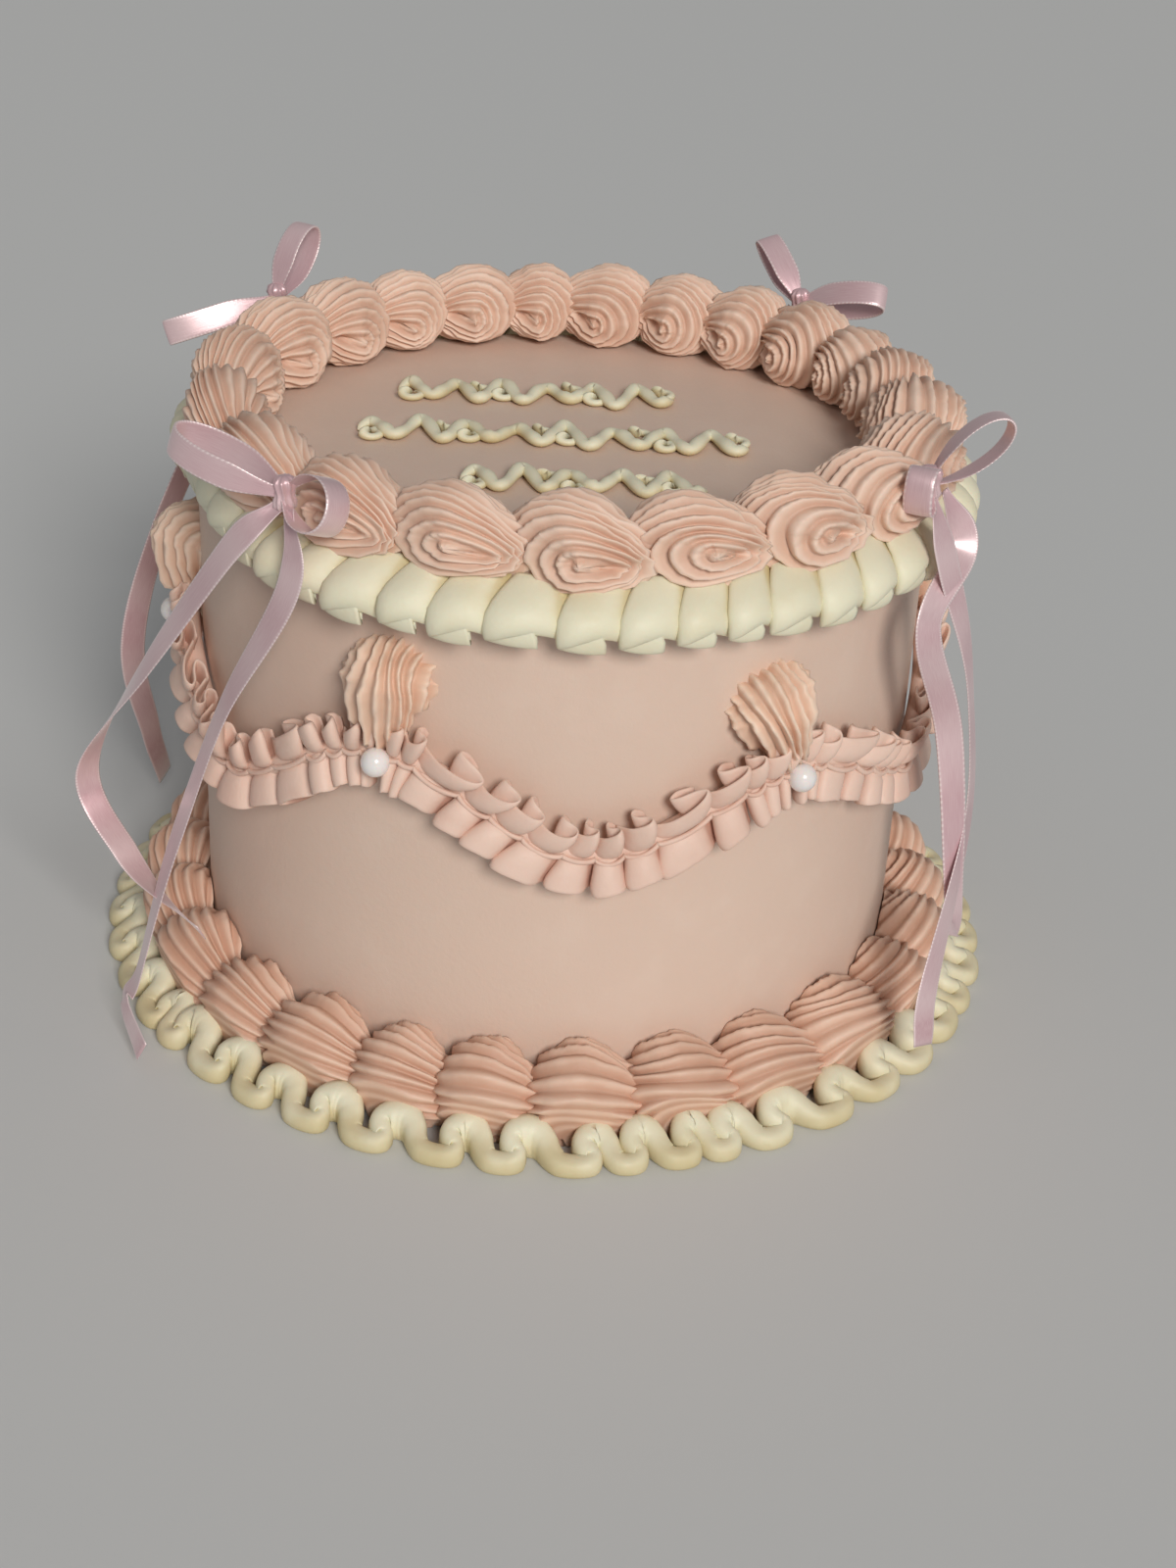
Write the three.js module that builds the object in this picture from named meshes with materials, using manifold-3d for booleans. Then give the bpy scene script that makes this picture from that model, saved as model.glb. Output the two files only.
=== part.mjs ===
// A round celebration cake in smooth buttercream with vintage piped trimming: shell
// borders and ruffles round the top edge and the foot, six ruffled swags on the side, a
// standing shell and a pearl where two swags meet, four ribbon bows, and three rows of
// piped scrollwork on the top. Millimetres, Z up, the middle of the foot at the origin.
// Angles are in degrees, anticlockwise from +X seen from above; -90 is the front.

import * as THREE from 'three';
import { mergeVertices } from 'three/addons/utils/BufferGeometryUtils.js';
import Module from 'manifold-3d';

// Driving dimensions
const CAKE_RADIUS = 80;
const CAKE_HEIGHT = 120;
const EDGE_ROUND = 2;
const GAP = 0.3;
const CAKE_SIDES = 60;
const SEAT_RADIUS = CAKE_RADIUS + GAP;
const SEAT_HEIGHT = CAKE_HEIGHT + GAP;

// A shell border is one ring of overlapping shells. Its section is part of an ellipse,
// ridged lengthwise, closed through the corner where the ring sits against the cake
const TOP_SHELLS = {
  count: 22,
  corner: [79.6, 120.9],
  centre: [73.5, 129.3],
  radii: [9, 10.6],
  arc: [238, -52],
  ridges: 6,
  headReach: 2.6,
};
const FOOT_SHELLS = {
  count: 26,
  corner: [SEAT_RADIUS, 0],
  centre: [86.2, 8],
  radii: [8.6, 11.5],
  arc: [133, -44],
  ridges: 4,
  headReach: 2.4,
};
// Along one shell: where it starts under the last tail, its brow, its crown and its rear
const SHELL_STATIONS = [
  { part: 0, size: 0.62, lead: 1 },
  { part: 0.15, size: 0.95, lead: 0.8 },
  { part: 0.42, size: 1, lead: 0.4 },
  { part: 0.73, size: 0.85, lead: 0 },
];
const SHELL_STEP_UNEVEN = 0.12;
const SHELL_SIZE_UNEVEN = 0.06;
const RIDGE_DEPTH = 0.15;

// A single shell standing on the side, from its fat head to its thin tail. The last three
// say how much narrower, lower and deeper in the tail's end is than the head, as parts
const SIDE_SHELL = {
  head: 11,
  tail: 17,
  halfWidth: 10,
  rise: 11.4,
  ridges: 5,
  rounds: 7,
  narrowed: 0.55,
  lowered: 0.35,
  sunk: 0.18,
};
const TAIL_TAPER = 1.4;

// Ruffle round the top edge, under the shells: its outer face bellies out in panels
const COLLAR_PLEATS = 49;
const COLLAR_RAISED = [
  [SEAT_RADIUS, 115.5],
  [85.2, 112],
  [90, 119],
  [86.4, 126.3],
  [SEAT_RADIUS + 0.2, 121.6],
];
const COLLAR_TUCKED = [
  [SEAT_RADIUS, 116],
  [83.2, 113.6],
  [87, 119.2],
  [84.6, 125.2],
  [SEAT_RADIUS + 0.2, 121.6],
];
// Along one fold of a ruffle: [part of its width, how far tucked in it is there]
const COLLAR_STATIONS = [[0, 0], [0.8, 1]];
const FOLD_WIDTH_UNEVEN = 0.22;
const FOLD_DEPTH_UNEVEN = 0.12;

// Ruffle round the foot: a thick ribbon of cream squeezed into leaning folds
const FOOT_FOLDS = 47;
const FOOT_RUFFLE_INNER = 95.2;
const FOOT_RAISED = [
  [FOOT_RUFFLE_INNER, 0],
  [103.2, 0],
  [105, 3.2],
  [101.5, 8.8],
  [FOOT_RUFFLE_INNER, 11],
];
const FOOT_TUCKED = [
  [FOOT_RUFFLE_INNER, 0],
  [99.4, 0],
  [100.6, 2.2],
  [98.6, 6],
  [FOOT_RUFFLE_INNER, 8],
];
const FOOT_STATIONS = [[0, 0], [0.8, 1]];
// Degrees that a raised fold swings round for each millimetre of height
const FOOT_LEAN = -0.25;

// Swags: each hangs between two joints and is two ruffled bands that meet on a seam. At a
// joint a shell stands on its tail over a pearl, its head leaning by so many degrees to the
// right as seen from outside
const JOINTS = [
  { height: 83, lean: 1 },
  { height: 79, lean: -20 },
  { height: 81, lean: 8 },
  { height: 82, lean: -10 },
  { height: 80, lean: 5 },
  { height: 82, lean: -6 },
];
const FIRST_JOINT = -114;
const SWAG_STEP = 360 / JOINTS.length;
const SWAG_LOW = 65.2;
const SWAG_PLEATS = 11;
const SWAG_END_GAP = 1.9;
const SWAG_WIDTH_UNEVEN = 0.16;
const SWAG_DEPTH_UNEVEN = 0.3;
const SWAG_TUCK = 0.84;
const SWAG_TIP = [1.6, 3.4];
// Each corner of a band's outline is [how far it stands out, how far it is from the seam]
const SWAG_BANDS = {
  hanging: {
    side: 1,
    raised: [[0, 0.2], [4.6, 0.2], [6, 6.6], [0, 9.4]],
    tucked: [[0, 0.2], [3.2, 0.2], [3.8, 6], [0, 8.2]],
  },
  standing: {
    side: -1,
    raised: [[0, 0.2], [5.4, 0.2], [6, 6.4], [0, 9]],
    tucked: [[0, 0.2], [3.8, 0.2], [3.4, 5.4], [0, 7.2]],
  },
};
const PEARL_RADIUS = 3;
const PEARL_REACH = 86.2;
const SHELL_STAND = 15;

// Ribbon bows: a knot, two loops and two tails of flat satin ribbon. A loop is given by
// where it aims from the knot, the axis that it winds round, its length and its breadth.
// A tail's points are [turn from the knot, reach from the cake's axis, height, twist]
const RIBBON_WIDTH = 6;
const RIBBON_THICK = 0.7;
const KNOT_REACH = 86.8;
const KNOT_HEIGHT = 134;
const KNOT_RADII = [3.2, 3, 3.4];
const LOOP_FULLNESS = 0.3;
const LOOP_STEPS = 7;
const TAIL_STEPS = 7;
const BOWS = [
  {
    name: 'front_left',
    angle: -128,
    loops: [
      { aim: [7.6, -23.7, 8], axis: [0.25, 0.3, 0.9], length: 25, breadth: 11 },
      { aim: [2.5, 17, 1], axis: [0.9, -0.15, 0.35], length: 16, breadth: 13 },
    ],
    tails: [
      [[0, 88, 132, 0], [-5, 94.5, 122, 10], [-19, 100, 89, 20], [-28, 109, 59, 70],
        [-23, 104, 42, 80], [-17, 100, 35, 50], [-10, 98, 32, 30]],
      [[2, 88.5, 132, 0], [4, 93, 118, 5], [-6, 95, 88, 25], [-14, 99, 53, 15],
        [-18, 106, 17.5, 20], [-18, 109.5, 10.5, 0], [-12, 111.5, 5, -10]],
    ],
  },
  {
    name: 'front_right',
    angle: -33,
    loops: [
      { aim: [10, -5, 0], axis: [0.45, 0.9, 0], length: 10, breadth: 11 },
      { aim: [11, 10.5, 13], axis: [0.6, -0.65, 0.1], length: 20, breadth: 9 },
    ],
    tails: [
      [[-1, 88, 132, 0], [0, 93.5, 117, 15], [5, 98, 89, -10], [6, 101, 54, 0],
        [-6, 106, 28, 15], [-8, 108.5, 15, 10]],
      [[3, 88, 131, 0], [5, 92.8, 119, 60], [-4, 93.5, 106, 30], [3, 96, 78, 50],
        [3, 102, 40, 20], [1, 104, 33, 10]],
    ],
  },
  {
    name: 'back_right',
    angle: 51,
    loops: [
      { aim: [5, -24, 6], axis: [0.6, 0.1, 0.75], length: 24, breadth: 9 },
      { aim: [4, 13, 11], axis: [0.75, 0.2, -0.5], length: 17, breadth: 7 },
    ],
    tails: [
      [[0, 88, 132, 0], [-3, 93, 119, 15], [-8, 97, 88, 10], [-12, 101, 52, 25],
        [-11, 106.5, 24, 10]],
      [[2, 88, 132, 0], [4, 93.5, 118, -10], [9, 96, 92, 20], [6, 99, 66, 0],
        [9, 101, 44, 15]],
    ],
  },
  {
    name: 'back_left',
    angle: 143,
    loops: [
      { aim: [1, -12, 15], axis: [0.8, -0.4, -0.4], length: 19, breadth: 9 },
      { aim: [15, 22, -7], axis: [0.4, 0, 0.9], length: 27, breadth: 7 },
    ],
    tails: [
      [[1, 88, 132, 0], [5, 93.5, 119, 10], [19, 100, 83, 25], [23, 105, 55, 50],
        [18, 106, 28, 20], [13, 108, 10, 0]],
      [[-1, 88, 132, 0], [-5, 93.5, 118, 10], [-11, 97, 90, 15], [-8, 100, 58, 0],
        [-12, 103, 30, 10]],
    ],
  },
];

// Scrollwork: wavy lines of cream, each with a round bud in every hollow of the wave
const SCROLL_HALF = 1.4;
const SCROLL_THICK = 2.4;
const SCROLL_SWING = 3.4;
const BUD_RADIUS = 2;
const BUD_SPOT = 0.75;
const BUD_DROP = 0.9;
const BUD_FLATNESS = 0.5;
const SCROLL_ROWS = [
  { name: 'back', from: [-39, 30], to: [24, 31], waves: 6 },
  { name: 'middle', from: [-46, 4], to: [40, 3], waves: 8 },
  { name: 'front', from: [-22, -23], to: [30, -23], waves: 5 },
];
const STEPS_PER_WAVE = 4;

const DRUM_MARGIN = 10;
const WELD = 1e-3;
const RANDOM_SEED = 2719;

const wasm = await Module();
wasm.setup();

const draw = seededRandom(RANDOM_SEED);

// Finishes
const blush = finish(0xe4bfa6, 0.62);
const peach = finish(0xe0a88c, 0.6);
const rose = finish(0xd9a290, 0.6);
const cream = finish(0xefe6bf, 0.55);
const pearlWhite = finish(0xf1eeee, 0.25);
const satin = finish(0xc493a8, 0.35);

function finish(color, roughness) {
  return new THREE.MeshStandardMaterial({ color, roughness, metalness: 0 });
}

function seededRandom(seed) {
  let state = seed;
  return () => {
    state = (state * 1664525 + 1013904223) % 4294967296;
    return state / 4294967296;
  };
}

function spread(amount) {
  return 1 + amount * (2 * draw() - 1);
}

// Starting places of `count` steps round 0..1 whose widths differ by up to `amount`
function unevenStarts(count, amount) {
  const widths = Array.from({ length: count }, () => spread(amount));
  const total = widths.reduce((sum, width) => sum + width, 0);
  let reached = 0;
  return widths.map((width) => {
    const start = reached / total;
    reached += width;
    return start;
  });
}

function radians(degrees) {
  return THREE.MathUtils.degToRad(degrees);
}

// A point given by its turn round the axis, reach from the axis and height
function around(degrees, reach, height) {
  const turn = radians(degrees);
  return new THREE.Vector3(reach * Math.cos(turn), reach * Math.sin(turn), height);
}

function mixed(from, to, amount) {
  return from.map((point, i) => point.map((value, k) => value + (to[i][k] - value) * amount));
}

// Moves every vertex of a three.js shape to place(u, v) and welds its seams
function shaped(geometry, place) {
  const uv = geometry.getAttribute('uv');
  const position = geometry.getAttribute('position');
  for (let i = 0; i < position.count; i += 1) {
    const spot = place(uv.getX(i), uv.getY(i));
    position.setXYZ(i, spot.x, spot.y, spot.z);
  }
  return facingOut(welded(geometry));
}

// Shares the vertices of a closed shape and drops the faces that shrink to nothing
function welded(geometry) {
  geometry.deleteAttribute('normal');
  geometry.deleteAttribute('uv');
  const shared = mergeVertices(geometry, WELD);
  const corners = shared.getIndex().array;
  const kept = [];
  for (let i = 0; i < corners.length; i += 3) {
    const face = [corners[i], corners[i + 1], corners[i + 2]];
    if (new Set(face).size === 3) {
      kept.push(...face);
    }
  }
  shared.setIndex(kept);
  return shared;
}

function enclosedVolume(geometry) {
  const position = geometry.getAttribute('position');
  const index = geometry.getIndex();
  const corners = [new THREE.Vector3(), new THREE.Vector3(), new THREE.Vector3()];
  let volume = 0;
  for (let i = 0; i < index.count; i += 3) {
    corners.forEach((corner, k) => corner.fromBufferAttribute(position, index.getX(i + k)));
    volume += corners[0].dot(corners[1].clone().cross(corners[2])) / 6;
  }
  return volume;
}

function facingOut(geometry) {
  if (enclosedVolume(geometry) < 0) {
    const index = geometry.getIndex();
    for (let i = 0; i < index.count; i += 3) {
      const first = index.getX(i);
      index.setX(i, index.getX(i + 1));
      index.setX(i + 1, first);
    }
  }
  return geometry;
}

function solid(geometry) {
  const mesh = new wasm.Mesh({
    numProp: 3,
    vertProperties: new Float32Array(geometry.getAttribute('position').array),
    triVerts: new Uint32Array(geometry.getIndex().array),
  });
  return new wasm.Manifold(mesh);
}

function geometryOf(manifold) {
  const mesh = manifold.getMesh();
  const geometry = new THREE.BufferGeometry();
  geometry.setAttribute('position', new THREE.BufferAttribute(mesh.vertProperties, 3));
  geometry.setIndex(new THREE.BufferAttribute(mesh.triVerts, 1));
  return geometry;
}

function joined(geometries) {
  return geometries.map(solid).reduce((whole, piece) => whole.add(piece));
}

// A solid of revolution about Z from [reach, height] points that start and end on it
function turnedSolid(outline) {
  const points = outline.map(([reach, height]) => new THREE.Vector2(reach, height));
  const geometry = new THREE.LatheGeometry(points, CAKE_SIDES);
  geometry.rotateX(Math.PI / 2);
  return facingOut(welded(geometry));
}

// The frosted cake: an upright drum with a slightly softened top edge
function cakeBody() {
  const edge = new THREE.Path();
  edge.absarc(CAKE_RADIUS - EDGE_ROUND, CAKE_HEIGHT - EDGE_ROUND, EDGE_ROUND, 0, Math.PI / 2);
  const rounded = edge.getPoints(1).map((point) => [point.x, point.y]);
  return turnedSolid([[0, 0], [CAKE_RADIUS, 0], ...rounded, [0, CAKE_HEIGHT]]);
}

// One shell: a ball whose poles point sideways, ridged from side to side, with its rear
// half drawn out into a low narrow tail. x runs along the piping and z away from the cake
function pipedShell(size, ridgeDepth, grow) {
  const ball = new THREE.SphereGeometry(1, size.rounds, 2 * size.ridges);
  return shaped(ball, (u, v) => {
    const lap = 2 * Math.PI * u;
    const lean = Math.PI * (1 - v);
    const valley = 0.5 + 0.5 * Math.cos(2 * size.ridges * lean);
    const reach = 1 - ridgeDepth * valley;
    const along = -Math.cos(lap) * Math.sin(lean);
    const behind = Math.max(0, along) ** TAIL_TAPER;
    const length = (along > 0 ? size.tail : size.head) + grow;
    const width = (size.halfWidth + grow) * (1 - size.narrowed * behind);
    const rise = (size.rise + grow) * (1 - size.lowered * behind);
    return new THREE.Vector3(
      along * reach * length,
      Math.cos(lean) * reach * width,
      Math.sin(lap) * Math.sin(lean) * reach * rise - size.sunk * size.rise * behind,
    );
  });
}

// A border of shells laid head over tail all the way round, as one ring. Each section is
// drawn at full size and shrunk towards the corner where the ring sits
function shellBorder({ count, corner, centre, radii, arc, ridges, headReach }) {
  const starts = unevenStarts(count, SHELL_STEP_UNEVEN);
  const stations = starts.flatMap((start, i) => {
    const end = i + 1 < count ? starts[i + 1] : 1;
    const scale = 1 - SHELL_SIZE_UNEVEN * draw();
    return SHELL_STATIONS.map(({ part, size, lead }) => ({
      angle: FIRST_JOINT + 360 * (start + (end - start) * part),
      scale: scale * size,
      lead,
    }));
  });
  const arcPoints = 2 * ridges + 1;
  const corners = arcPoints + 1;
  const ring = new THREE.TorusGeometry(1, 0.5, corners, stations.length);
  return shaped(ring, (u, v) => {
    const station = stations[Math.round(u * stations.length) % stations.length];
    const point = Math.round(v * corners) % corners;
    if (point === arcPoints) {
      return around(station.angle, ...corner);
    }
    const part = point / (arcPoints - 1);
    const lean = radians(THREE.MathUtils.lerp(arc[0], arc[1], part));
    const depth = point % 2 === 0 ? 1 : 1 - RIDGE_DEPTH;
    const full = [
      centre[0] + radii[0] * depth * Math.cos(lean),
      centre[1] + radii[1] * depth * Math.sin(lean),
    ];
    const [reach, height] = corner.map((value, k) => value + station.scale * (full[k] - value));
    const ahead = headReach * station.lead * Math.sin(Math.PI * part);
    return around(station.angle - ahead, reach, height);
  });
}

// A closed ring of folds. Each fold starts proud and ends tucked under the next one, and
// `states` lists how far tucked it is at parts of its width
function foldedRing(folds, raised, tucked, states, lean = 0) {
  const starts = unevenStarts(folds, FOLD_WIDTH_UNEVEN);
  const stations = starts.flatMap((start, i) => {
    const end = i + 1 < folds ? starts[i + 1] : 1;
    const depth = spread(FOLD_DEPTH_UNEVEN);
    return states.map(([part, tuck]) => ({
      angle: 360 * (start + (end - start) * part),
      outline: mixed(raised, tucked, tuck * depth),
      tuck,
    }));
  });
  const ring = new THREE.TorusGeometry(1, 0.5, raised.length, stations.length);
  const base = raised[0][1];
  return shaped(ring, (u, v) => {
    const station = stations[Math.round(u * stations.length) % stations.length];
    const [reach, height] = station.outline[Math.round(v * raised.length) % raised.length];
    const swing = lean * (1 - station.tuck) * (height - base);
    return around(FIRST_JOINT + station.angle + swing, reach, height);
  });
}

// A closed strip of `count` sections with its ends drawn to points. place(step, corner)
// gives each vertex, and the two points are the steps before the first and past the last
function strand(count, corners, place) {
  const strip = new THREE.SphereGeometry(1, corners, count + 1);
  return shaped(strip, (u, v) => {
    const step = Math.round((1 - v) * (count + 1)) - 1;
    return place(step, Math.round(u * corners) % corners);
  });
}

// The seam of swag k at `part` from -1 to 1, as a turn from its middle and a height
function seamPoint(k, part) {
  const joint = JOINTS[part < 0 ? k : (k + 1) % JOINTS.length];
  const rise = (joint.height - SWAG_LOW) * (1 - Math.cos(Math.PI * part)) / 2;
  return { turn: part * (SWAG_STEP / 2 - SWAG_END_GAP), height: SWAG_LOW + rise };
}

// One ruffled band of a swag, folded like the rings
function swagBand(band, k) {
  const starts = unevenStarts(SWAG_PLEATS, SWAG_WIDTH_UNEVEN);
  const stations = starts.flatMap((start, i) => {
    const end = i + 1 < SWAG_PLEATS ? starts[i + 1] : 1;
    return [
      { part: start, outline: band.raised },
      {
        part: start + SWAG_TUCK * (end - start),
        outline: mixed(band.raised, band.tucked, spread(SWAG_DEPTH_UNEVEN)),
      },
    ];
  });
  const last = stations.length - 1;
  const middle = FIRST_JOINT + (k + 0.5) * SWAG_STEP;
  return strand(stations.length, band.raised.length, (step, corner) => {
    const station = stations[THREE.MathUtils.clamp(step, 0, last)];
    const here = seamPoint(k, 2 * station.part - 1);
    const near = seamPoint(k, 2 * station.part - 0.98);
    const run = radians(near.turn - here.turn) * CAKE_RADIUS;
    const climb = near.height - here.height;
    const slope = Math.hypot(run, climb);
    const atEnd = step < 0 || step > last;
    const [proud, hang] = atEnd ? SWAG_TIP : station.outline[corner];
    const drop = band.side * hang;
    const sideways = (drop * climb) / slope;
    const turn = here.turn + THREE.MathUtils.radToDeg(sideways / CAKE_RADIUS);
    const height = here.height - (drop * run) / slope;
    return around(middle + turn, SEAT_RADIUS + proud, height);
  });
}

// The shell that stands on joint k, its head up and its tail on the joint
function sideShell(k, ridgeDepth, grow) {
  const shell = pipedShell(SIDE_SHELL, ridgeDepth, grow);
  const stand = new THREE.Matrix4().makeBasis(
    new THREE.Vector3(0, 0, -1),
    new THREE.Vector3(0, 1, 0),
    new THREE.Vector3(1, 0, 0),
  );
  shell.applyMatrix4(stand);
  shell.translate(0, 0, SHELL_STAND);
  shell.rotateX(radians(-JOINTS[k].lean));
  shell.translate(CAKE_RADIUS + 0.5, 0, JOINTS[k].height);
  return shell.rotateZ(radians(FIRST_JOINT + k * SWAG_STEP));
}

function pearlGeometry(radius) {
  return welded(new THREE.SphereGeometry(radius, 6, 5));
}

// The room that the cake's side and the gap to it take up, for trimming what stands there
function cakeDrum() {
  return turnedSolid([
    [0, -DRUM_MARGIN],
    [SEAT_RADIUS, -DRUM_MARGIN],
    [SEAT_RADIUS, CAKE_HEIGHT + DRUM_MARGIN],
    [0, CAKE_HEIGHT + DRUM_MARGIN],
  ]);
}

// A closed loop of ribbon, narrow at the knot, in the plane across `axis`
function ribbonLoop({ aim, axis, length, breadth }) {
  const out = new THREE.Vector3(...aim).normalize();
  const side = new THREE.Vector3(...axis).cross(out).normalize();
  const across = out.clone().cross(side);
  const ring = new THREE.TorusGeometry(1, 0.5, 4, LOOP_STEPS);
  const corners = [[-0.5, -0.5], [0.5, -0.5], [0.5, 0.5], [-0.5, 0.5]];
  return shaped(ring, (u, v) => {
    const lap = 2 * Math.PI * u;
    const corner = corners[Math.round(4 * v) % 4];
    const far = (1 - Math.cos(lap)) / 2;
    const flat = 2 * RIBBON_THICK;
    const belly = breadth * far ** LOOP_FULLNESS;
    const middle = new THREE.Vector3()
      .addScaledVector(out, far * (length + corner[1] * flat))
      .addScaledVector(side, 0.5 * Math.sin(lap) * (belly + corner[1] * flat));
    return middle.addScaledVector(across, corner[0] * RIBBON_WIDTH);
  });
}

// A hanging tail: a flat strap along a smooth curve, twisted as its points say
function ribbonTail(points) {
  const path = new THREE.CatmullRomCurve3(points.map(([turn, reach, z]) => around(turn, reach, z)));
  const strap = new THREE.BoxGeometry(1, 1, 1, TAIL_STEPS, 1, 1);
  const position = strap.getAttribute('position');
  for (let i = 0; i < position.count; i += 1) {
    const part = position.getX(i) + 0.5;
    const spot = path.getPoint(part);
    const run = path.getTangent(part);
    const place = part * (points.length - 1);
    const before = Math.min(Math.floor(place), points.length - 2);
    const twist = THREE.MathUtils.lerp(points[before][3], points[before + 1][3], place - before);
    const outward = new THREE.Vector3(spot.x, spot.y, 0).normalize();
    const across = run.clone().cross(outward).normalize().applyAxisAngle(run, radians(twist));
    const thick = across.clone().cross(run);
    spot.addScaledVector(across, position.getY(i) * RIBBON_WIDTH);
    spot.addScaledVector(thick, position.getZ(i) * RIBBON_THICK);
    position.setXYZ(i, spot.x, spot.y, spot.z);
  }
  return facingOut(welded(strap));
}

// A whole bow in its own frame, +X pointing out of the cake
function bowGeometry(bow) {
  const knot = new THREE.SphereGeometry(1, 5, 3);
  knot.scale(...KNOT_RADII);
  const loops = bow.loops.map(ribbonLoop);
  const crown = [welded(knot), ...loops];
  crown.forEach((piece) => piece.translate(KNOT_REACH, 0, KNOT_HEIGHT));
  return geometryOf(joined([...crown, ...bow.tails.map(ribbonTail)]));
}

// One row of scrollwork: a wavy ridge of cream with buds in its hollows
function scrollRow({ from, to, waves }) {
  const count = waves * STEPS_PER_WAVE + 1;
  const length = to[0] - from[0];
  const corners = [[-SCROLL_HALF, 0], [0, SCROLL_THICK], [SCROLL_HALF, 0]];
  const line = strand(count, corners.length, (step, corner) => {
    const part = step / (count - 1);
    const wave = 2 * Math.PI * waves * part;
    const slope = (2 * Math.PI * waves * SCROLL_SWING * Math.cos(wave)) / length;
    const across = new THREE.Vector2(-slope, 1).normalize();
    const atEnd = part < 0 || part > 1;
    const [aside, lift] = atEnd ? [0, SCROLL_THICK / 3] : corners[corner];
    const y = THREE.MathUtils.lerp(from[1], to[1], part) + SCROLL_SWING * Math.sin(wave);
    return new THREE.Vector3(
      THREE.MathUtils.lerp(from[0], to[0], part) + across.x * aside,
      y + across.y * aside,
      lift,
    );
  });
  const buds = Array.from({ length: waves }, (_, i) => {
    const bud = welded(new THREE.OctahedronGeometry(BUD_RADIUS));
    const part = (i + BUD_SPOT) / waves;
    const x = THREE.MathUtils.lerp(from[0], to[0], part);
    const y = THREE.MathUtils.lerp(from[1], to[1], part) - BUD_DROP;
    return bud.scale(1, 1, BUD_FLATNESS).translate(x, y, BUD_RADIUS * BUD_FLATNESS);
  });
  return geometryOf(joined([line, ...buds])).translate(0, 0, SEAT_HEIGHT);
}

function named(name, geometry, material) {
  const mesh = new THREE.Mesh(geometry, material);
  mesh.name = name;
  return mesh;
}

const cake = new THREE.Group();
cake.add(named('cake_body', cakeBody(), blush));
cake.add(named('top_shell_border', shellBorder(TOP_SHELLS), peach));
cake.add(named('foot_shell_border', shellBorder(FOOT_SHELLS), peach));

const collar = foldedRing(COLLAR_PLEATS, COLLAR_RAISED, COLLAR_TUCKED, COLLAR_STATIONS);
cake.add(named('top_ruffle', collar, cream));

const footRuffle = foldedRing(FOOT_FOLDS, FOOT_RAISED, FOOT_TUCKED, FOOT_STATIONS, FOOT_LEAN);
cake.add(named('foot_ruffle', footRuffle, cream));

// Each joint's shell, trimmed to the cake and the pearl, and the room the swags leave it
const drum = solid(cakeDrum());
const joints = JOINTS.map(({ height }, k) => {
  const pearl = around(FIRST_JOINT + k * SWAG_STEP, PEARL_REACH, height - 1);
  const socket = solid(pearlGeometry(PEARL_RADIUS + 2 * GAP).translate(...pearl));
  const shell = solid(sideShell(k, RIDGE_DEPTH, 0)).subtract(drum).subtract(socket);
  return { pearl, shell, room: solid(sideShell(k, 0, GAP)).add(socket) };
});

joints.forEach(({ pearl, shell }, k) => {
  cake.add(named(`side_shell_${k + 1}`, geometryOf(shell), peach));
  const bead = named(`pearl_${k + 1}`, pearlGeometry(PEARL_RADIUS), pearlWhite);
  bead.position.copy(pearl);
  cake.add(bead);
});

joints.forEach(({ room }, k) => {
  const nextRoom = joints[(k + 1) % joints.length].room;
  Object.entries(SWAG_BANDS).forEach(([kind, band]) => {
    const trimmed = solid(swagBand(band, k)).subtract(room).subtract(nextRoom);
    cake.add(named(`swag_${kind}_ruffle_${k + 1}`, geometryOf(trimmed), rose));
  });
});

BOWS.forEach((bow) => {
  const place = new THREE.Group();
  place.rotation.z = radians(bow.angle);
  place.add(named(`bow_${bow.name}`, bowGeometry(bow), satin));
  cake.add(place);
});

SCROLL_ROWS.forEach((row) => {
  cake.add(named(`scroll_${row.name}`, scrollRow(row), cream));
});

export default cake;
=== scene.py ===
"""A round celebration cake in blush buttercream with vintage piped trimming.

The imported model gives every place. The classes here hold their sizes in millimetres, and
the meshes are written in metres. Turns are degrees anticlockwise from +X, and -90 is the
front. Each piece is made of copies of a closed blank, whose points are moved to their places.
"""

import logging
import math
from collections.abc import Sequence
from dataclasses import dataclass, field
from enum import Enum
from itertools import pairwise

import bmesh
import bpy
import numpy as np
from mathutils import Matrix, Vector

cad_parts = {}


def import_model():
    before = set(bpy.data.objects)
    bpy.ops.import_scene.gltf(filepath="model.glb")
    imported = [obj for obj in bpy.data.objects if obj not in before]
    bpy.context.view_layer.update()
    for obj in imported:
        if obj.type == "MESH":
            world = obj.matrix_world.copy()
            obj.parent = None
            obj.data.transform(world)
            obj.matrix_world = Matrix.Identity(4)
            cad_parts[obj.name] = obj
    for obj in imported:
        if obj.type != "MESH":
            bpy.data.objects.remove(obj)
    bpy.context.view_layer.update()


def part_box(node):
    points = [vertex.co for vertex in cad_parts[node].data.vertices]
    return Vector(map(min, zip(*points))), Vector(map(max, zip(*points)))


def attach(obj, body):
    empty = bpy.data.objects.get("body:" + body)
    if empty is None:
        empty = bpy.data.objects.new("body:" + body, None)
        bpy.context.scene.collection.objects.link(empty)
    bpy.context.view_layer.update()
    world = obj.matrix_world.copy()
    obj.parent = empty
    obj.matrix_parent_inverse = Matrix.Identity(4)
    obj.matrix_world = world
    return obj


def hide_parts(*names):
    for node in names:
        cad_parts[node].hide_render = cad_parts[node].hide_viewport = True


Array = np.ndarray
Form = bmesh.types.BMesh
Mesh = bpy.types.Mesh
Node = bpy.types.Node
Socket = bpy.types.NodeSocket
Row = tuple[float, ...]
Pair = tuple[float, float]
Triple = tuple[float, float, float]
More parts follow.
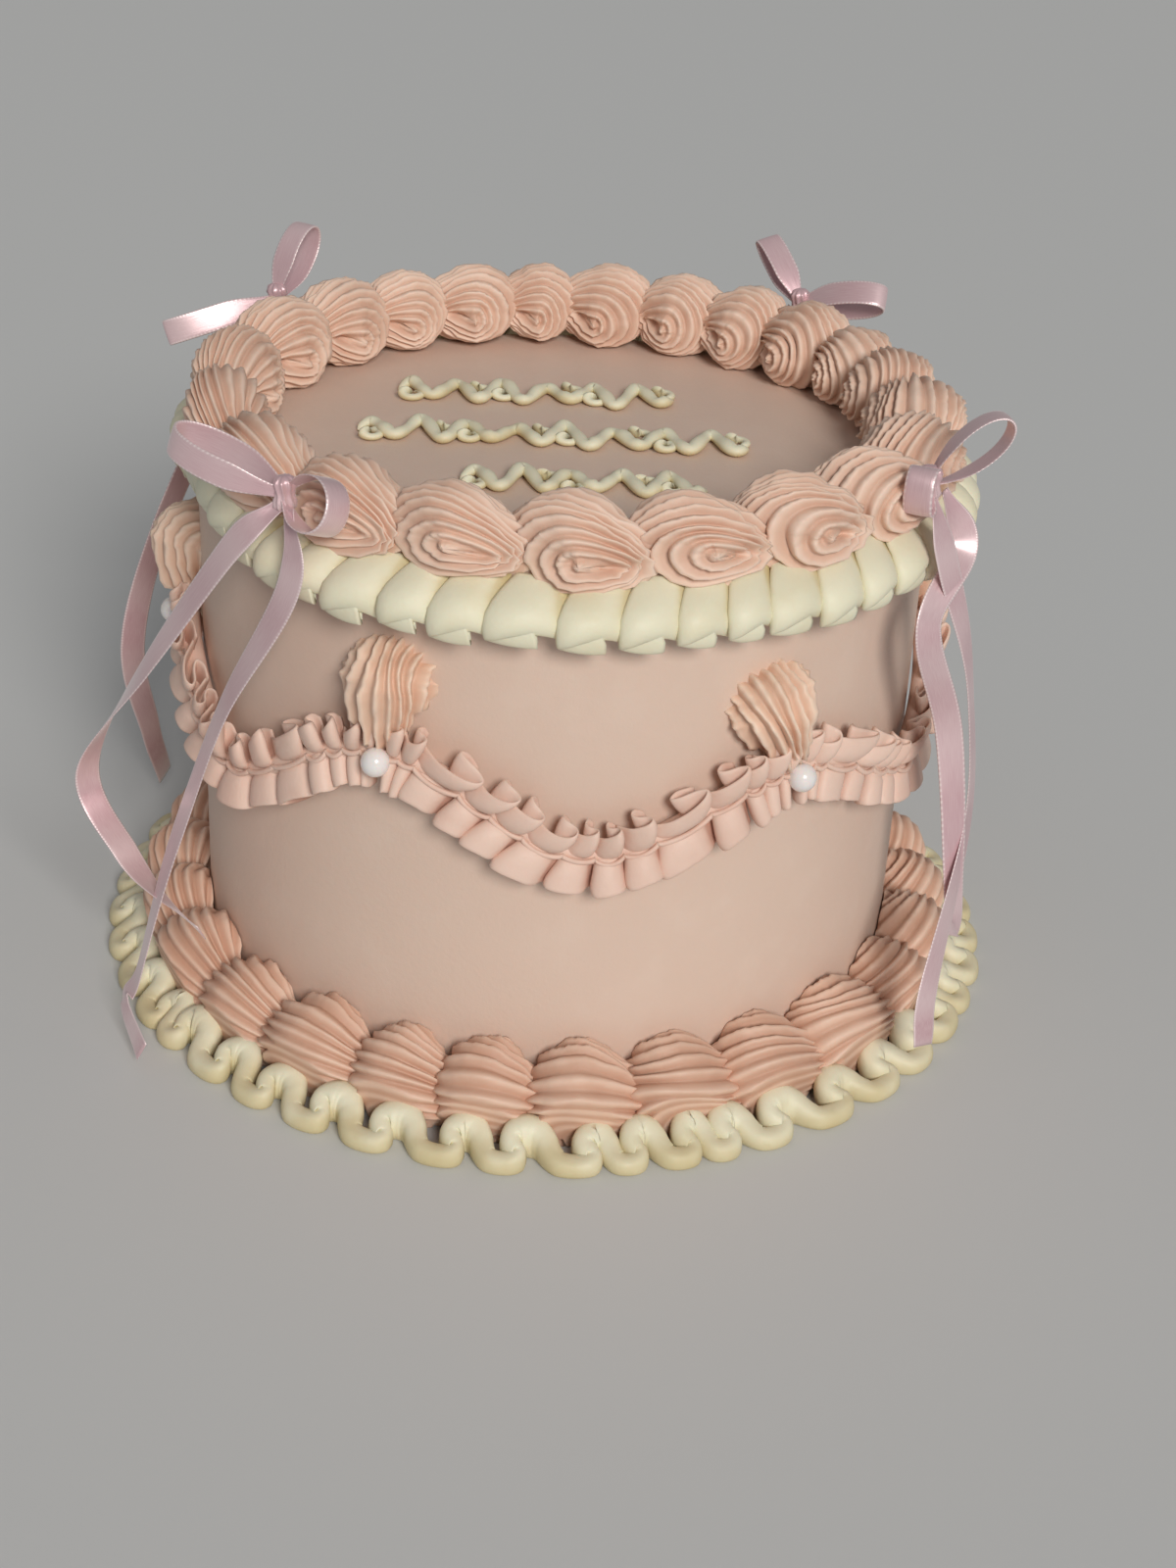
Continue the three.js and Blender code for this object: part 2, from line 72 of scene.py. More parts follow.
Quad = tuple[float, float, float, float]

LOG = logging.getLogger("cake")
MM = 0.001
FULL_TURN = 2 * math.pi
# A swag hangs between two joints. The first joint is at the front left
JOINTS = 6
JOINT_STEP = 360 / JOINTS
FRONT_JOINT = -114.0
# How far before and behind a place its course is read for the direction there
NEARBY = 0.01
RING_SECTION = 0.3
BUTTERCREAM = "buttercream"


class Slot(Enum):
    """The record's material slots."""

    FROSTING = "frosting"
    SHELLS = "shell_icing"
    SWAGS = "swag_icing"
    CREAM = "cream_icing"
    PEARL = "pearl"
    RIBBON = "ribbon"


class Shape(Enum):
    """The closed shapes that a piece starts from."""

    BALL = "ball"
    RING = "ring"


def smooth(share: Array) -> Array:
    """Eases a share from 0 to 1 with level ends."""
    inside = np.clip(share, 0.0, 1.0)
    return inside * inside * (3 - 2 * inside)


def squarer(wave: Array, power: float) -> Array:
    """Fattens a sine wave towards a square one, the more the smaller the power."""
    return np.sign(wave) * np.abs(wave) ** power


def unit(rows: Array) -> Array:
    """Makes each row 1 long."""
    return rows / np.maximum(np.linalg.norm(rows, axis=1), 1e-9)[:, None]


def around(turn: Array, reach: Array, height: Array) -> Array:
    """Points from turns in degrees, reaches from the cake's axis and heights."""
    angle = np.radians(turn)
    return np.stack([reach * np.cos(angle), reach * np.sin(angle), height + 0 * angle], axis=-1)


def spline(a: Array, b: Array, c: Array, d: Array, t: Array) -> Array:
    """Reads the smooth curve from b to c, with a before them and d behind, at shares t."""
    return 0.5 * (
        2 * b + (c - a) * t + (2 * a - 5 * b + 4 * c - d) * t**2 + (3 * b - a - 3 * c + d) * t**3
    )


def through(values: Sequence[Sequence[float]], share: Array) -> Array:
    """Reads a smooth curve through a few rows of values.

    Args:
        values: The rows that the curve passes through, evenly spaced.
        share: Where to read it, from 0 at the first row to 1 at the last.

    Returns:
        One row for each share.
    """
    rows = np.asarray(values, float)
    padded = np.vstack([2 * rows[0] - rows[1], rows, 2 * rows[-1] - rows[-2]])
    place = np.clip(share, 0.0, 1.0) * (len(rows) - 1)
    first = np.minimum(place.astype(int), len(rows) - 2)
    return spline(*(padded[first + k] for k in range(4)), (place - first)[:, None])


def profile(values: Sequence[float], share: Array) -> Array:
    """Reads a smooth curve through single values, as `through` does."""
    return through([(value,) for value in values], share)[:, 0]


def turned(first: Array, second: Array, degrees: float) -> tuple[Array, Array]:
    """Turns places given by two values each, from the first value's axis towards the second's."""
    cos, sin = math.cos(math.radians(degrees)), math.sin(math.radians(degrees))
    return first * cos - second * sin, second * cos + first * sin


def nearness(turn: float, middle: float, spread: float) -> float:
    """How near a turn is to a middle one, from 1 there to 0 far beyond the spread."""
    away = ((turn - middle + 180) % 360 - 180) / spread
    return math.exp(-away * away)


def spin(form: Form, steps: int) -> None:
    """Spins the outline in a form once round the Z axis and joins its ends."""
    outline = form.verts[:] + form.edges[:]
    bmesh.ops.spin(form, geom=outline, axis=(0, 0, 1), angle=FULL_TURN, steps=steps, use_merge=True)


def baked(form: Form, name: str) -> Mesh:
    """Writes a form to a new mesh.

    Args:
        form: The form, which is freed.
        name: The mesh's name.

    Returns:
        The mesh.
    """
    mesh = bpy.data.meshes.new(name)
    form.to_mesh(mesh)
    form.free()
    return mesh


def shown(name: str, data: bpy.types.ID) -> bpy.types.Object:
    """Adds an object to the scene.

    Args:
        name: The object's name.
        data: Its mesh, camera or light.

    Returns:
        The object.
    """
    made = bpy.data.objects.new(name, data)
    bpy.context.scene.collection.objects.link(made)
    return made


class Hand:
    """The unevenness of piping by hand, drawn from one seed."""

    def __init__(self, seed: int) -> None:
        """Starts the draws."""
        self.draws = np.random.default_rng(seed)

    def near(self, middle: float, share: float) -> float:
        """A value that differs from `middle` by up to `share` of it."""
        return middle * (1 + share * self.draws.uniform(-1, 1))

    def off(self, amount: float) -> float:
        """A value between -amount and amount."""
        return amount * self.draws.uniform(-1, 1)

    def wobble(self, along: Array, waves: Sequence[float]) -> Array:
        """A smooth uneven line between about -1 and 1, as the mean of a few sine waves."""
        lines = [np.sin(wave * along + self.draws.uniform(0, FULL_TURN)) for wave in waves]
        return sum(lines) / len(lines)

    def starts(self, known: Sequence[float], count: int, uneven: float) -> list[float]:
        """Turns of `count` repeats round the cake: those seen, then the rest evenly.

        Args:
            known: Turns in rising order, in degrees.
            count: How many there are in all.
            uneven: How much the other steps differ, as a share.

        Returns:
            The turns, and the first one again a full turn on.
        """
        turns = list(known)
        end = known[0] + 360
        steps = [self.near(1, uneven) for _ in range(count - len(known) + 1)]
        width = (end - known[-1]) / sum(steps)
        for step in steps[:-1]:
            turns.append(turns[-1] + width * step)
        return [*turns, end]


@dataclass(frozen=True)
class Net:
    """A node tree, with a short way to write each kind of node.

    An input takes a number, a colour or the output that feeds it.
    """

    tree: bpy.types.NodeTree

    def feed(self, node: Node, **values: object) -> Node:
        """Fills in a node's inputs.

        Args:
            node: The node.
            values: What each input takes, by its name with underscores for blanks, or by an
                i and its place.

        Returns:
            The node.
        """
        for name, value in values.items():
            socket = node.inputs[int(name[1:]) if name[1:].isdigit() else name.replace("_", " ")]
            if isinstance(value, Socket):
                self.tree.links.new(value, socket)
            else:
                socket.default_value = (*value, 1) if socket.type == "RGBA" else value
        return node

    def node(self, kind: str, settings: dict[str, object], **values: object) -> Node:
        """Adds a node.

        Args:
            kind: The last part of its Blender type.
            settings: Its properties by name.
            values: Its inputs, as `feed` takes them.

        Returns:
            The node.
        """
        made = self.tree.nodes.new("ShaderNode" + kind)
        for name, value in settings.items():
            setattr(made, name, value)
        return self.feed(made, **values)

    def mark(self, name: str) -> Socket:
        """A value that the mesh carries at its points."""
        return self.node("Attribute", {"attribute_name": name}).outputs["Fac"]

    def place(self) -> Socket:
        """The place on the piece, in the cake's frame."""
        return self.node("TexCoord", {}).outputs["Object"]

    def maths(self, operation: str, *values: object, clamp: bool = False) -> Socket:
        """Works out a number from up to three."""
        taken = {f"i{place}": value for place, value in enumerate(values)}
        return self.node("Math", {"operation": operation, "use_clamp": clamp}, **taken).outputs[0]

    def ranged(self, value: object, old: Pair, new: Pair = (0.0, 1.0)) -> Socket:
        """Stretches a number from an old range to a new one."""
        taken = {"From_Min": old[0], "From_Max": old[1], "To_Min": new[0], "To_Max": new[1]}
        return self.node("MapRange", {}, Value=value, **taken).outputs[0]

    def noise(
        self, place: object, scale: float, detail: float, roughness: float = 0.5
    ) -> Socket:
        """A cloudy pattern."""
        taken = {"Vector": place, "Scale": scale, "Detail": detail, "Roughness": roughness}
        return self.node("TexNoise", {}, **taken).outputs[0]

    def scaled(self, place: object, scale: Triple) -> Socket:
        """A place with each of its values multiplied."""
        return self.node("Mapping", {}, Vector=place, Scale=scale).outputs[0]

    def mix(self, factor: object, first: object, second: object) -> Socket:
        """Mixes so much of the second colour into the first."""
        return self.node("Mix", {"data_type": "RGBA"}, i0=factor, i6=first, i7=second).outputs[2]


def icing_group() -> bpy.types.NodeTree:
    """The look that all the buttercream shares.

    Returns:
        A group that puts out a mottled colour, with a painted highlight on crests and painted
        shade in hollows, a roughness and a height.
    """
    sides = {
        "INPUT": {"Colour": "Color", "Hollow": "Color", "Crest": "Color", "Nearness": "Float"},
        "OUTPUT": {"Colour": "Color", "Roughness": "Float", "Height": "Float"},
    }
    group = bpy.data.node_groups.new(BUTTERCREAM, "ShaderNodeTree")
    for side, sockets in sides.items():
        for label, kind in sockets.items():
            group.interface.new_socket(label, in_out=side, socket_type="NodeSocket" + kind)
    net = Net(group)
    taken = group.nodes.new("NodeGroupInput").outputs
    mottle = net.noise(net.place(), scale=70.0, detail=3.0, roughness=0.55)
    grain = net.noise(net.place(), scale=900.0, detail=4.0, roughness=0.6)
    spread = net.ranged(mottle, (0.35, 0.65), (-0.18, 0.18))
    near = net.maths("ADD", taken["Nearness"], spread, clamp=True)
    # Painted shade: mixes towards the hollow colour far from a crest, then a painted highlight towards the
    # crest colour near one.
    low = net.mix(near, taken["Hollow"], taken["Colour"])
    net.feed(
        group.nodes.new("NodeGroupOutput"),
        Colour=net.mix(net.ranged(near, (0.55, 1.0)), low, taken["Crest"]),
        Roughness=net.ranged(grain, (0.3, 0.7), (0.46, 0.6)),
        Height=net.maths("MULTIPLY_ADD", mottle, 0.7, grain),
    )
    return group


@dataclass(frozen=True)
class Finish:
    """A plain matt finish, and the start of every other one."""

    name: str
    slot: Slot | None
    colour: Triple

    def material(self) -> bpy.types.Material:
        """The finish's material, made when it is first asked for.

        Returns:
            The material.
        """
        made = bpy.data.materials.get(self.name)
        if made is None:
            made = bpy.data.materials.new(self.name)
            made.use_nodes = True
            self.dress(Net(made.node_tree), made.node_tree.nodes["Principled BSDF"])
        return made

    def dress(self, net: Net, shader: Node) -> None:
        """Fills in the nodes of the material's net that feed its shader."""
        net.feed(shader, Base_Color=self.colour, Roughness=0.55)


@dataclass(frozen=True)
class Icing(Finish):
    """A buttercream, with a painted shade colour for its hollows and a painted highlight colour for its
    crests.
    """

    # Painted shade colour for the hollows of a marked icing; an unmarked one only mottles towards it at
    # random.
    hollow: Triple
    # Painted highlight colour for the crests of a marked icing; an unmarked one only mottles towards it at
    # random.
    crest: Triple
    marked: bool = True
    relief: float = 0.00012

    def dress(self, net: Net, shader: Node) -> None:
        """Mottles the icing, with painted shade where the mesh marks a hollow and a painted highlight on a
        crest.

        Args:
            net: The material's nodes.
            shader: Its shader.
        """
        # The mesh's crest mark steers the painted shade and painted highlight; an unmarked icing takes a
        # middle value.
        look = net.node(
            "Group",
            {"node_tree": bpy.data.node_groups.get(BUTTERCREAM) or icing_group()},
            Colour=self.colour,
            Hollow=self.hollow,
            Crest=self.crest,
            Nearness=net.mark("crest") if self.marked else 0.5,
        ).outputs
        bump = net.node("Bump", {}, Height=look["Height"], Distance=self.relief, Strength=0.6)
        net.feed(
            shader,
            Base_Color=look["Colour"],
            Roughness=look["Roughness"],
            Normal=bump.outputs[0],
            Subsurface_Weight=0.1,
            Subsurface_Radius=(1.0, 0.45, 0.3),
            Subsurface_Scale=0.0016,
            Specular_IOR_Level=0.4,
        )


@dataclass(frozen=True)
class Satin(Finish):
    """Woven satin ribbon with a finely stitched edge on both sides.

    `weave` and `sheen` are how fast the threads and the painted gleam change across and along,
    and `edge` where the stitched edge starts, as a share of half the ribbon's width.
    """

    # The pale colour of the threads and of the stitched edge, also used for the painted gleam.
    light: Triple
    weave: Triple = (26.0, 0.35, 1.0)
    sheen: Triple = (0.06, 0.07, 1.0)
    edge: Pair = (0.8, 0.9)
    stitches: float = 9.0
    relief: float = 0.00004

    def dress(self, net: Net, shader: Node) -> None:
        """Weaves threads along the ribbon, with stitched edges and a slow painted gleam.

        Args:
            net: The material's nodes.
            shader: Its shader.
        """
        across, along = net.mark("across"), net.mark("along")
        lines = net.node("CombineXYZ", {}, X=across, Y=along).outputs[0]
        threads = net.noise(net.scaled(lines, self.weave), scale=1.0, detail=3.0)
        # Painted highlight: a slow gleam along the ribbon, mixed towards the pale colour.
        gleam = net.noise(net.scaled(lines, self.sheen), scale=1.0, detail=0.0)
        at_edge = net.ranged(net.maths("ABSOLUTE", across), self.edge)
        stitch = net.maths("SINE", net.maths("MULTIPLY", along, self.stitches))
        mask = net.maths("MULTIPLY", at_edge, net.ranged(stitch, (-0.4, 0.6), (0.35, 1.0)))
        woven = net.mix(net.ranged(threads, (0.3, 0.7), (0.0, 0.35)), self.colour, self.light)
        lit = net.mix(net.ranged(gleam, (0.35, 0.7), (0.0, 0.5)), woven, self.light)
        height = net.maths("MULTIPLY_ADD", mask, 1.5, threads)
        bump = net.node("Bump", {}, Height=height, Distance=self.relief, Strength=0.5)
        net.feed(
            shader,
            Base_Color=net.mix(mask, lit, self.light),
            Roughness=net.ranged(threads, (0.3, 0.7), (0.3, 0.42)),
            Normal=bump.outputs[0],
            Metallic=0.35,
            Anisotropic=0.5,
            Sheen_Weight=0.4,
            Sheen_Roughness=0.35,
            Specular_IOR_Level=0.7,
        )


@dataclass(frozen=True)
class Lustre(Finish):
    """A sugar pearl's soft lustre, with clouds of a warmer tint."""

    warm: Triple

    def dress(self, net: Net, shader: Node) -> None:
        """Clouds the pearl under its clear coat.

        Args:
            net: The material's nodes.
            shader: Its shader.
        """
        clouds = net.noise(net.place(), scale=450.0, detail=2.0)
        net.feed(
            shader,
            Base_Color=net.mix(net.ranged(clouds, (0.35, 0.7), (0.0, 0.4)), self.colour, self.warm),
            Roughness=net.ranged(clouds, (0.0, 1.0), (0.16, 0.3)),
            Coat_Weight=0.6,
            Coat_Roughness=0.12,
            Subsurface_Weight=0.15,
            Subsurface_Scale=0.001,
        )


# Each icing's second colour is painted shade for its hollows and its third a painted highlight for its
# crests; the coat is not marked and only mottles between them at random.
BLUSH = Icing("blush_coat", Slot.FROSTING, (0.75, 0.575, 0.475), (0.73, 0.55, 0.45), (0.77, 0.6, 0.5), False)
PEACH = Icing("peach_shells", Slot.SHELLS, (0.82, 0.59, 0.46), (0.68, 0.43, 0.32), (0.86, 0.64, 0.52))
# A darker, more saturated copy of the shell icing for the foot shells: painted shade.
SHADED_PEACH = Icing(
    "peach_foot_shells", Slot.SHELLS, (0.75, 0.5, 0.375), (0.6, 0.345, 0.24), (0.8, 0.56, 0.435)
)
LIGHT_PEACH = Icing(
    "peach_side_shells", Slot.SHELLS, (0.88, 0.64, 0.49), (0.73, 0.47, 0.34), (0.92, 0.7, 0.56)
)
ROSE = Icing("rose_swags", Slot.SWAGS, (0.77, 0.53, 0.43), (0.56, 0.31, 0.23), (0.82, 0.6, 0.5))
CREAM = Icing("pale_cream", Slot.CREAM, (0.81, 0.745, 0.53), (0.6, 0.49, 0.25), (0.84, 0.8, 0.61))
# The ribbon's pale colour serves both its light threads and its painted gleam.
MAUVE = Satin("mauve_satin", Slot.RIBBON, (0.66, 0.41, 0.45), (0.95, 0.8, 0.8))
PEARL = Lustre("sugar_pearl_lustre", Slot.PEARL, (0.86, 0.84, 0.84), (0.9, 0.8, 0.74))
FLOOR = Finish("pale_floor", None, (0.68, 0.69, 0.69))


@dataclass(frozen=True)
class Blank:
    """A closed shape made by bmesh operators, to be moved to its place point by point.

    A ball's `turn` goes round its axis and its `rise` from pole to pole. A ring's `turn`
    goes round the axis and its `rise` round its section.
    """

    shape: Shape
    turns: int
    rises: int

    def mesh(self) -> Mesh:
        """Makes the shape about the origin, of radius 1.

        Returns:
            The mesh.
        """
        form = bmesh.new()
        if self.shape is Shape.BALL:
            bmesh.ops.create_uvsphere(form, u_segments=self.turns, v_segments=self.rises, radius=1)
        else:
            bmesh.ops.create_circle(form, segments=self.rises, radius=RING_SECTION)
            upright = Matrix.Translation((1, 0, 0)) @ Matrix.Rotation(math.pi / 2, 4, "X")
            bmesh.ops.transform(form, matrix=upright, verts=form.verts)
            spin(form, self.turns)
        return baked(form, self.shape.value)

    def angles(self, mesh: Mesh) -> tuple[Array, Array]:
        """Reads where each point of the shape sits on it.

        Args:
            mesh: The shape as `mesh` makes it.

        Returns:
            The turn and the rise of each point, in radians.
        """
        x, y, z = np.array([vert.co for vert in mesh.vertices]).T
        turn = np.arctan2(y, x)
        if self.shape is Shape.BALL:
            return turn, np.arccos(np.clip(z, -1, 1))
        return turn % FULL_TURN, np.arctan2(z, np.hypot(x, y) - 1) % FULL_TURN


@dataclass
class Piece:
    """One piece of the cake: copies of a blank, each moved to its own place.

    `turn` and `rise` say where each point sits on the blank. `share` is how far along the
    rows between a ball's poles it is, from 0 to 1. `hand` gives the unevenness.
    """

    name: str
    blank: Blank
    hand: Hand
    spots: list[Array] = field(default_factory=list)
    marks: dict[str, list[Array]] = field(default_factory=dict)

    def __post_init__(self) -> None:
        """Makes the blank."""
        self.template = self.blank.mesh()
        self.turn, self.rise = self.blank.angles(self.template)
        last = self.blank.rises
        row = np.rint(self.rise / math.pi * last).astype(int)
        self.share = (np.clip(row, 1, last - 1) - 1) / (last - 2)
        self.at_pole = (row == 0) | (row == last)

    def closed(self, values: Array | float, end: float = 0.0) -> Array:
        """Values for the points, with `end` at both poles, where the blank closes."""
        return np.where(self.at_pole, end, values)

    def add(self, spots: Array, **marks: Array | float) -> None:
        """Adds a copy.

        Args:
            spots: The place of each of its points, in millimetres.
            marks: Values at the points that the finish reads, by name.
        """
        self.spots.append(spots)
        for name, values in marks.items():
            self.marks.setdefault(name, []).append(np.broadcast_to(values, len(spots)))

    def place(self, finish: Finish, *nodes: str) -> None:
        """Joins the copies to one mesh of the cake.

        Args:
            finish: The finish.
            nodes: The CAD nodes that it stands for.
        """
        form = bmesh.new()
        for _ in self.spots:
            form.from_mesh(self.template)
        mesh = baked(form, self.name)
        mesh.vertices.foreach_set("co", np.concatenate(self.spots).ravel() * MM)
        for name, values in self.marks.items():
            layer = mesh.attributes.new(name, "FLOAT", "POINT")
            layer.data.foreach_set("value", np.concatenate(values).astype(np.float32))
        mesh.update()
        place_mesh(mesh, finish, *nodes)


def place_mesh(mesh: Mesh, finish: Finish, *nodes: str) -> None:
    """Turns a mesh's faces outwards and lets it ride on the cake in place of CAD nodes.

    Args:
        mesh: The mesh, in metres in the cake's frame.
        finish: Its finish.
        nodes: The CAD nodes that it stands for.
    """
    form = bmesh.new()
    form.from_mesh(mesh)
    bmesh.ops.recalc_face_normals(form, faces=form.faces)
    form.to_mesh(mesh)
    form.free()
    mesh.polygons.foreach_set("use_smooth", [True] * len(mesh.polygons))
    mesh.materials.append(finish.material())
    piece = shown(mesh.name, mesh)
    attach(piece, "root")
    if nodes:
        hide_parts(*nodes)
    LOG.info("%s: %d faces", mesh.name, len(mesh.polygons))


@dataclass(frozen=True)
class ShellForm:
    """One piped shell, in its own frame: X from head to tail, Y across, Z out of the cake.

    Its ridges loop round the two side poles and run together in the tail. `sag` is how far
    the outer and the inner pole hang down, and `pole_back` how far tailwards they lie.
    `keen` is how crisp the ridges' crests are, from 0 for round to 1 for sharp.
    """

    head: float
    tail: float
    half_width: float
    rise: float
    ridges: int
    sag: Pair
    droop: float
    depth: float = 0.17
    sharpness: float = 1.6
    keen: float = 0.3
    ragged: float = 0.03
    fray_waves: Triple = (5, 13, 29)
    wander: float = 0.06
    pole_back: Pair = (4.0, 2.5)
    tail_width: float = 0.5
    tail_rise: float = 0.25
    crowding: float = 0.4
    fan: float = 0.5
    brow: float = 0.9

    def surface(self, piece: Piece) -> tuple[Array, Array]:
        """Moves the points of a ball to the shell's surface.

        Args:
            piece: The piece that the shell is for.

        Returns:
            The points in millimetres, and how near a ridge's crest each is, from 0 to 1, which sets the
            painted highlight on crests and the painted shade in valleys.
        """
        hand, rise = piece.hand, piece.rise
        lap = piece.turn - self.crowding * np.sin(piece.turn - 1)
        spacing = sum(np.sin(wave * rise + hand.draws.uniform(0, FULL_TURN)) / wave for wave in (3, 5, 7))
        phase = self.ridges * (rise + 0.16 * np.sin(rise) * spacing) / math.pi
        nearest = np.rint(phase)
        ridge = np.clip(nearest, 0, self.ridges).astype(int)
        beside = np.abs(phase - nearest)
        valley = (1 - self.keen) * (2 * beside) ** self.sharpness + self.keen * np.sin(math.pi * beside)
        shifts = hand.draws.uniform(0, FULL_TURN, (self.ridges + 1, 3))
        deeper = hand.draws.uniform(0.7, 1.3, self.ridges + 1)[ridge]
        frays = sum(np.sin(wave * lap + shifts[ridge, k]) for k, wave in enumerate(self.fray_waves))
        swung = sum(np.sin(wave * lap + 3 * rise + shifts[0, wave]) for wave in (1, 2))
        lean = rise + self.wander * np.sin(rise) * swung
        forward, upward = np.cos(lap), np.sin(lap)
        inward, sideways = np.sin(lean), np.cos(lean)
        behind = np.clip(-forward, 0, 1) ** 1.4
        lumps = 1 + 0.03 * hand.wobble(lap + 2 * rise, (1, 2, 3))
        worn = 0.8 + 0.2 * hand.wobble(lap * 2 - rise, (1, 2))
        torn = self.ragged * (1 + 2 * behind) * (1 - valley) * frays / 3
        reach = (1 - self.depth * deeper * worn * valley + torn) * lumps
        ahead = forward > 0
        length = forward * inward ** np.where(ahead, self.brow, self.fan)
        length = length * np.where(ahead, self.head, self.tail)
        width = self.half_width * (1 - (1 - self.tail_width) * behind)
        height = self.rise * (1 - self.tail_rise * behind)
        sagged = np.where(sideways > 0, *self.sag) * np.abs(sideways) ** 2.2 * (1 - behind)
        backward = np.where(sideways > 0, *self.pole_back) * np.abs(sideways) ** 3
        upright = upward * inward**0.85 * height * reach - self.droop * behind - sagged
        # The crest nearness goes out as the mark for painted highlight and painted shade.
        return np.stack([backward - length * reach, sideways * width * reach, upright], axis=-1), 1 - valley


@dataclass(frozen=True)
class ShellRing:
    """A border of shells round the cake, each laid over the tail of the one before.

    `tilt` leans the shells out over the edge. `yaw` swings their tails outwards, by
    `front_yaw` more at the front and as much less at the back. `slim` is where their outer
    halves are narrower: [turn, over how many degrees, by what share]. `outer` is how far out
    they may reach at the foot. `climb` is where the ground under them starts to climb
    outwards and how steeply.
    """

    name: str
    node: str
    finish: Finish
    form: ShellForm
    heads: Row
    count: int
    reach: float
    height: float
    tilt: float
    yaw: float
    floor: float
    seed: int
    blank: Blank
    front_yaw: float = 0.0
    inner: float = 0.0
    outer: float = math.inf
    slim: Triple = (0.0, 1.0, 0.0)
    climb: Pair = (0.0, 0.0)
    step_uneven: float = 0.12
    size_uneven: float = 0.05
    yaw_uneven: float = 5.0
    tilt_uneven: float = 4.0

    def build(self) -> None:
        """Makes the border as one piece."""
        hand = Hand(self.seed)
        piece = Piece(self.name, self.blank, hand)
        starts = hand.starts(self.heads, self.count, self.step_uneven)
        for start, end in pairwise(starts):
            step = (end - start) / (360 / self.count)
            longer = step**0.8
            size = hand.near(1, self.size_uneven) * step**0.2
            spots, crest = self.form.surface(piece)
            middle = start + math.degrees(self.form.head * longer / self.reach)
            piece.add(self.seated(spots * (longer, size, size), middle, hand), crest=crest)
        piece.place(self.finish, self.node)

    def seated(self, spots: Array, middle: float, hand: Hand) -> Array:
        """Sets one shell on the ring, curved with it and pressed against the cake.

        Args:
            spots: The shell in its own frame.
            middle: The turn of its thickest place, in degrees.
            hand: Where the unevenness comes from.

        Returns:
            The points in the cake's frame.
        """
        toward_front = -math.sin(math.radians(middle))
        x, y, z = spots.T
        along, across = turned(x, y, self.yaw + self.front_yaw * toward_front + hand.off(self.yaw_uneven))
        slimmed = 1 - self.slim[2] * nearness(middle, *self.slim[:2])
        up, out = turned(
            z, np.where(across > 0, across * slimmed, across), self.tilt + hand.off(self.tilt_uneven)
        )
        height = self.height + up
        reach = np.minimum(np.maximum(self.reach + out, self.inner), self.outer + 0.25 * height)
        turn = middle + np.degrees(along / self.reach)
        ground = self.floor + self.climb[1] * np.maximum(reach - self.climb[0], 0)
        return around(turn, reach, np.maximum(height, ground))


TOP_SHELLS = ShellRing(
    name="top_shells",
    node="top_shell_border",
    finish=PEACH,
    form=ShellForm(
        head=12.5, tail=16, half_width=11.2, rise=10.2, ridges=14, sag=(-0.6, 2.4), droop=1.2, ragged=0.045
    ),
    heads=(
        -134, -116.5, -98.3, -81.5, -64.2, -46.5, -29, -10, 8, 22, 34,
        48, 61, 74.5, 89, 100, 114, 127, 142, 160, 181, 203,
    ),
    count=22,
    reach=75.2,
    height=129.2,
    tilt=1,
    yaw=8,
    front_yaw=7,
    floor=120.4,
    slim=(-172, 42, 0.36),
    climb=(79, 0.45),
    seed=11,
    blank=Blank(Shape.BALL, 38, 112),
)
FOOT_SHELLS = ShellRing(
    name="foot_shells",
    node="foot_shell_border",
    finish=SHADED_PEACH,
    form=ShellForm(head=11.5, tail=17, half_width=12.6, rise=10.2, ridges=12, sag=(1.6, 1.6), droop=2.4),
    heads=(-145.5, -131.7, -116.8, -104.7, -92.3, -78.4, -64.7, -50.6, -33.5),
    count=26,
    reach=87.0,
    height=9.2,
    tilt=38,
    yaw=6,
    inner=80.2,
    outer=92.6,
    floor=0.15,
    seed=12,
    blank=Blank(Shape.BALL, 38, 96),
)


